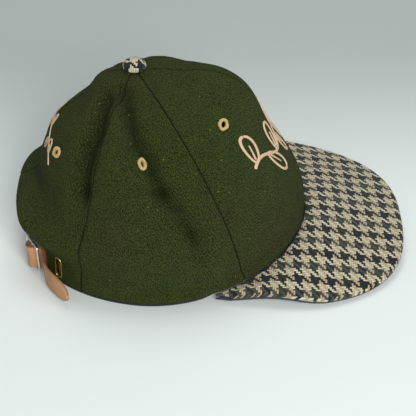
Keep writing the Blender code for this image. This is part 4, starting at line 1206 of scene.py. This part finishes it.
def leather_sweep(name, line, lean, tip=False):
    """A flat strap on edge along plan points, with rounded edges and closed ends."""
    count = len(line)
    run = np.gradient(line[:, 0]), np.gradient(line[:, 1])
    size = np.hypot(*run)
    nx, ny = run[1] / size, -run[0] / size
    half_w, half_t, corner = STRAP_WIDTH / 2, LEATHER / 2, 0.0005
    section = []
    side, end = half_t - corner, half_w - corner
    for cx, cz, first in ((side, end, 0.0), (-side, end, 90.0),
                          (-side, -end, 180.0), (side, -end, 270.0)):
        arc = [radians(first + 22.5 * k) for k in range(5)]
        section += [(cx + corner * cos(a), cz + corner * sin(a)) for a in arc]
        if first == 90.0:
            section += [(-half_t, half_w * (1.0 - k / 6.0)) for k in range(1, 12)]
    section += [(half_t, -half_w * (1.0 - k / 6.0)) for k in range(1, 12)]
    n, z = np.array(section).T
    travel = np.concatenate([[0.0], np.cumsum(np.hypot(*np.diff(line, axis=0).T))])
    trim, droop = np.zeros(count), np.zeros(count)
    if tip:
        left = np.clip((travel[-1] - travel) / TIP_LENGTH, 0.0, 1.0)
        trim = TIP_TRIM * (1.0 - np.sqrt(1.0 - (1.0 - left) ** 2.4))
        trim[left >= 1.0] = 0.0
        droop = TAIL_DROOP * np.clip(travel / travel[-1], 0.0, 1.0) ** 2.2
    share = (half_w - trim) / half_w
    wave = 0.00010 * np.sin(travel * 900.0) + 0.00012 * np.sin(travel * 410.0 + 1.0)
    height = z[None, :] * share[:, None] + np.sign(z)[None, :] * wave[:, None] * (np.abs(z) > 0.008)
    curl = 0.0006 * (z / half_w)[None, :] ** 2 * np.sin(travel * 120.0)[:, None]
    inward = np.stack([RIM_CENTRE_X - line[:, 0], -line[:, 1]], -1)
    inward = inward / np.linalg.norm(inward, axis=1, keepdims=True) * lean[:, None]
    tilt = (z + half_w) / (2 * half_w)
    x = line[:, :1] + nx[:, None] * (n[None, :] + curl) + inward[:, :1] * tilt[None, :]
    y = line[:, 1:] + ny[:, None] * (n[None, :] + curl) + inward[:, 1:] * tilt[None, :]
    rings = np.stack([x, y, np.maximum(STRAP_Z + height - droop[:, None], 0.0004)], -1)
    weave = np.stack(np.broadcast_arrays(z[None, :], travel[:, None]), -1)
    return stroke_mesh(name, [(rings, weave)], TAN_LEATHER)


far = slide_point(-0.0118, -0.0028)
away = degrees(atan2(far.y / RIM_HALF_WIDTH, (far.x - RIM_CENTRE_X) / RIM_HALF_LENGTH))
sweep = 360.0 + away - ANCHOR_ANGLE
knots, leans = [], []
for k in range(16, 0, -1):
    eased = float(smooth(0.45, 0.82, k / 16))
    knots.append(rim(away - sweep * k / 16, 0.0010 + (ANCHOR_INSET - 0.0010) * eased)[:2])
    leans.append(ANCHOR_LEAN * eased)
spans = len(knots)
for s, n in ((-11.8, -2.8), (-8.0, -2.8), (-5.2, -1.1), (-2.9, 2.3), (0.0, 3.6), (2.9, 2.3),
             (5.2, -1.1), (7.6, -2.7), (9.7, -2.85), (14.0, -1.4), (20.0, 0.6), (28.0, 1.8),
             (38.0, 1.2), (50.0, -1.2)):
    knots.append(tuple(slide_point(s * 0.001, n * 0.001))[:2])
    leans.append(0.0)
PER = 8
line = eased_line(knots, PER)
lean = np.interp(np.arange(len(line)) / PER, np.arange(len(leans)), leans)
cuts = (spans * PER, (spans + 8) * PER)
span = leather_sweep("strap_span_leather", line[:cuts[0] + 1], lean[:cuts[0] + 1])
loop = leather_sweep("strap_loop_leather", line[cuts[0]:cuts[1] + 1], lean[cuts[0]:cuts[1] + 1])
tail = leather_sweep("strap_tail_leather", line[cuts[1]:], lean[cuts[1]:], tip=True)
hook = [slide_point(s * 0.001, n * 0.001)[:2] for s, n in (
    (0.6, -1.95), (-1.1, -1.6), (-1.95, 0.0), (-1.35, 1.4), (0.0, 1.95), (1.45, 1.35), (2.3, 0.0),
    (3.6, -2.0), (6.0, -4.1), (9.0, -5.0), (12.0, -6.0))]
hook += [rim(-ANCHOR_ANGLE - 3.5, ANCHOR_INSET)[:2], rim(-ANCHOR_ANGLE, ANCHOR_INSET)[:2]]
line = eased_line(hook, PER)
lean = ANCHOR_LEAN * np.clip((np.arange(len(line)) - 70.0) / 20.0, 0.0, 1.0)
tab = leather_sweep("strap_tab_leather", line, lean)
for piece, node in ((span, "strap_span"), (loop, "strap_loop"), (tail, "strap_tail"),
                    (tab, "strap_tab")):
    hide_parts(node)
tuple(rim(ANCHOR_ANGLE))
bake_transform(span)
tuple(slide_point(0.0097, -0.0028))
tuple(slide_point(0.0040, -0.0028))
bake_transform(loop)
tuple(slide_point(0.0097, -0.0028))
tuple(slide_point(0.0190, -0.0028))
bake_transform(tail)
tuple(rim(-ANCHOR_ANGLE))
tuple(slide_point(0.0030, -0.0010))
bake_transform(tab)

# ---- Slide -------------------------------------------------------------------------------
# A nickel-plated wire slide with a bar down its middle. The strap bends over that bar and
# the tab is hooked round it.
SLIDE_HALF_LENGTH = 0.0080
SLIDE_HALF_HEIGHT = 0.0112
SLIDE_BAR = 0.0010
CENTRE_BAR = 0.0009


def wire_loop(half_x, half_y, corner, wire, steps):
    """A closed ring of round wire, bent from a flat outline with rounded corners."""
    deselect()
    bpy.ops.mesh.primitive_plane_add(size=2.0)
    bpy.context.object.scale = (half_x, half_y, 1.0)
    bpy.ops.object.transform_apply(scale=True)
    bpy.ops.object.mode_set(mode="EDIT")
    bpy.ops.mesh.select_all(action="SELECT")
    bpy.ops.mesh.bevel(offset=corner, segments=steps, affect="VERTICES", profile=0.5)
    bpy.ops.mesh.delete(type="ONLY_FACE")
    bpy.ops.object.mode_set(mode="OBJECT")
    bpy.ops.object.convert(target="CURVE")
    bpy.context.object.data.bevel_depth = wire
    bpy.context.object.data.bevel_resolution = 5
    bpy.ops.object.convert(target="MESH")
    return bpy.context.object


slide = wire_loop(SLIDE_HALF_LENGTH, SLIDE_HALF_HEIGHT - SLIDE_BAR, 0.0026, SLIDE_BAR, 9)
bpy.ops.mesh.primitive_cylinder_add(vertices=24, radius=CENTRE_BAR, rotation=(pi / 2, 0.0, 0.0),
                                    depth=2.0 * (SLIDE_HALF_HEIGHT - SLIDE_BAR))
bar = bpy.context.object
bpy.ops.object.transform_apply(rotation=True)
slide.select_set(True)
bpy.context.view_layer.objects.active = slide
bpy.ops.object.join()
slide = settle("nickel_slide", STEEL)
centre = slide_point(0.0, 0.0)
along = (slide_point(1.0, 0.0) - centre).normalized()
out = (slide_point(0.0, 1.0) - centre).normalized()
stand = Matrix((along, Vector((0.0, 0.0, 1.0)), -out)).transposed().to_4x4()
slide.data.transform(Matrix.Translation(centre) @ stand)
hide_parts("slide_buckle")
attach(slide, "slide")

# ---- Tuck slot ---------------------------------------------------------------------------
# A slim brass ring pressed into the wool beside the opening, where the strap's tail tucks
# away. It is an oval of round wire over a short sleeve.
SLOT_ANGLE = -134.0
SLOT_HALF_TALL = 0.0072
SLOT_HALF_WIDE = 0.0022
SLOT_Z = 0.0150
SLOT_WIRE = 0.0009
BRASS = metal_finish("brass_wire", (0.42, 0.27, 0.06), (0.83, 0.63, 0.24), 0.28, 500.0)
slot_t = SLOT_Z / APEX_HEIGHT * 2 / pi


def oval_wire(half_wide, half_tall, wire):
    """A closed ring of round wire, bent to a tall oval with straight sides."""
    deselect()
    bpy.ops.mesh.primitive_circle_add(vertices=64, radius=half_wide)
    bpy.ops.object.convert(target="CURVE")
    bpy.context.object.data.bevel_depth = wire
    bpy.context.object.data.bevel_resolution = 5
    bpy.ops.object.convert(target="MESH")
    obj = bpy.context.object
    for v in obj.data.vertices:
        v.co.y += (half_tall - half_wide) * max(-1.0, min(1.0, v.co.y / half_wide * 6.0))
    return obj


ring = oval_wire(SLOT_HALF_WIDE + 0.0006, SLOT_HALF_TALL + 0.0006, SLOT_WIRE * 0.60)
sleeve = oval_wire(SLOT_HALF_WIDE + 0.0004, SLOT_HALF_TALL + 0.0004, 0.0003)
for v in sleeve.data.vertices:
    v.co.z = v.co.z * 4.5 - 0.0012
ring.select_set(True)
bpy.context.view_layer.objects.active = ring
bpy.ops.object.join()
ring = settle("brass_tuck_ring", BRASS)
for v in ring.data.vertices:
    v.co.z += 0.0004
place_on_crown(ring, SLOT_ANGLE, slot_t)
sew_on(ring, "tuck_slot")
deselect()
bpy.ops.mesh.primitive_cylinder_add(vertices=48, radius=SLOT_HALF_WIDE + 0.0004, depth=0.010)
tool = bpy.context.object
for v in tool.data.vertices:
    v.co.y += (SLOT_HALF_TALL - SLOT_HALF_WIDE) * (1.0 if v.co.y > 0.0 else -1.0)
place_on_crown(tool, SLOT_ANGLE, slot_t)
subtract(panels["rear_right"], tool)
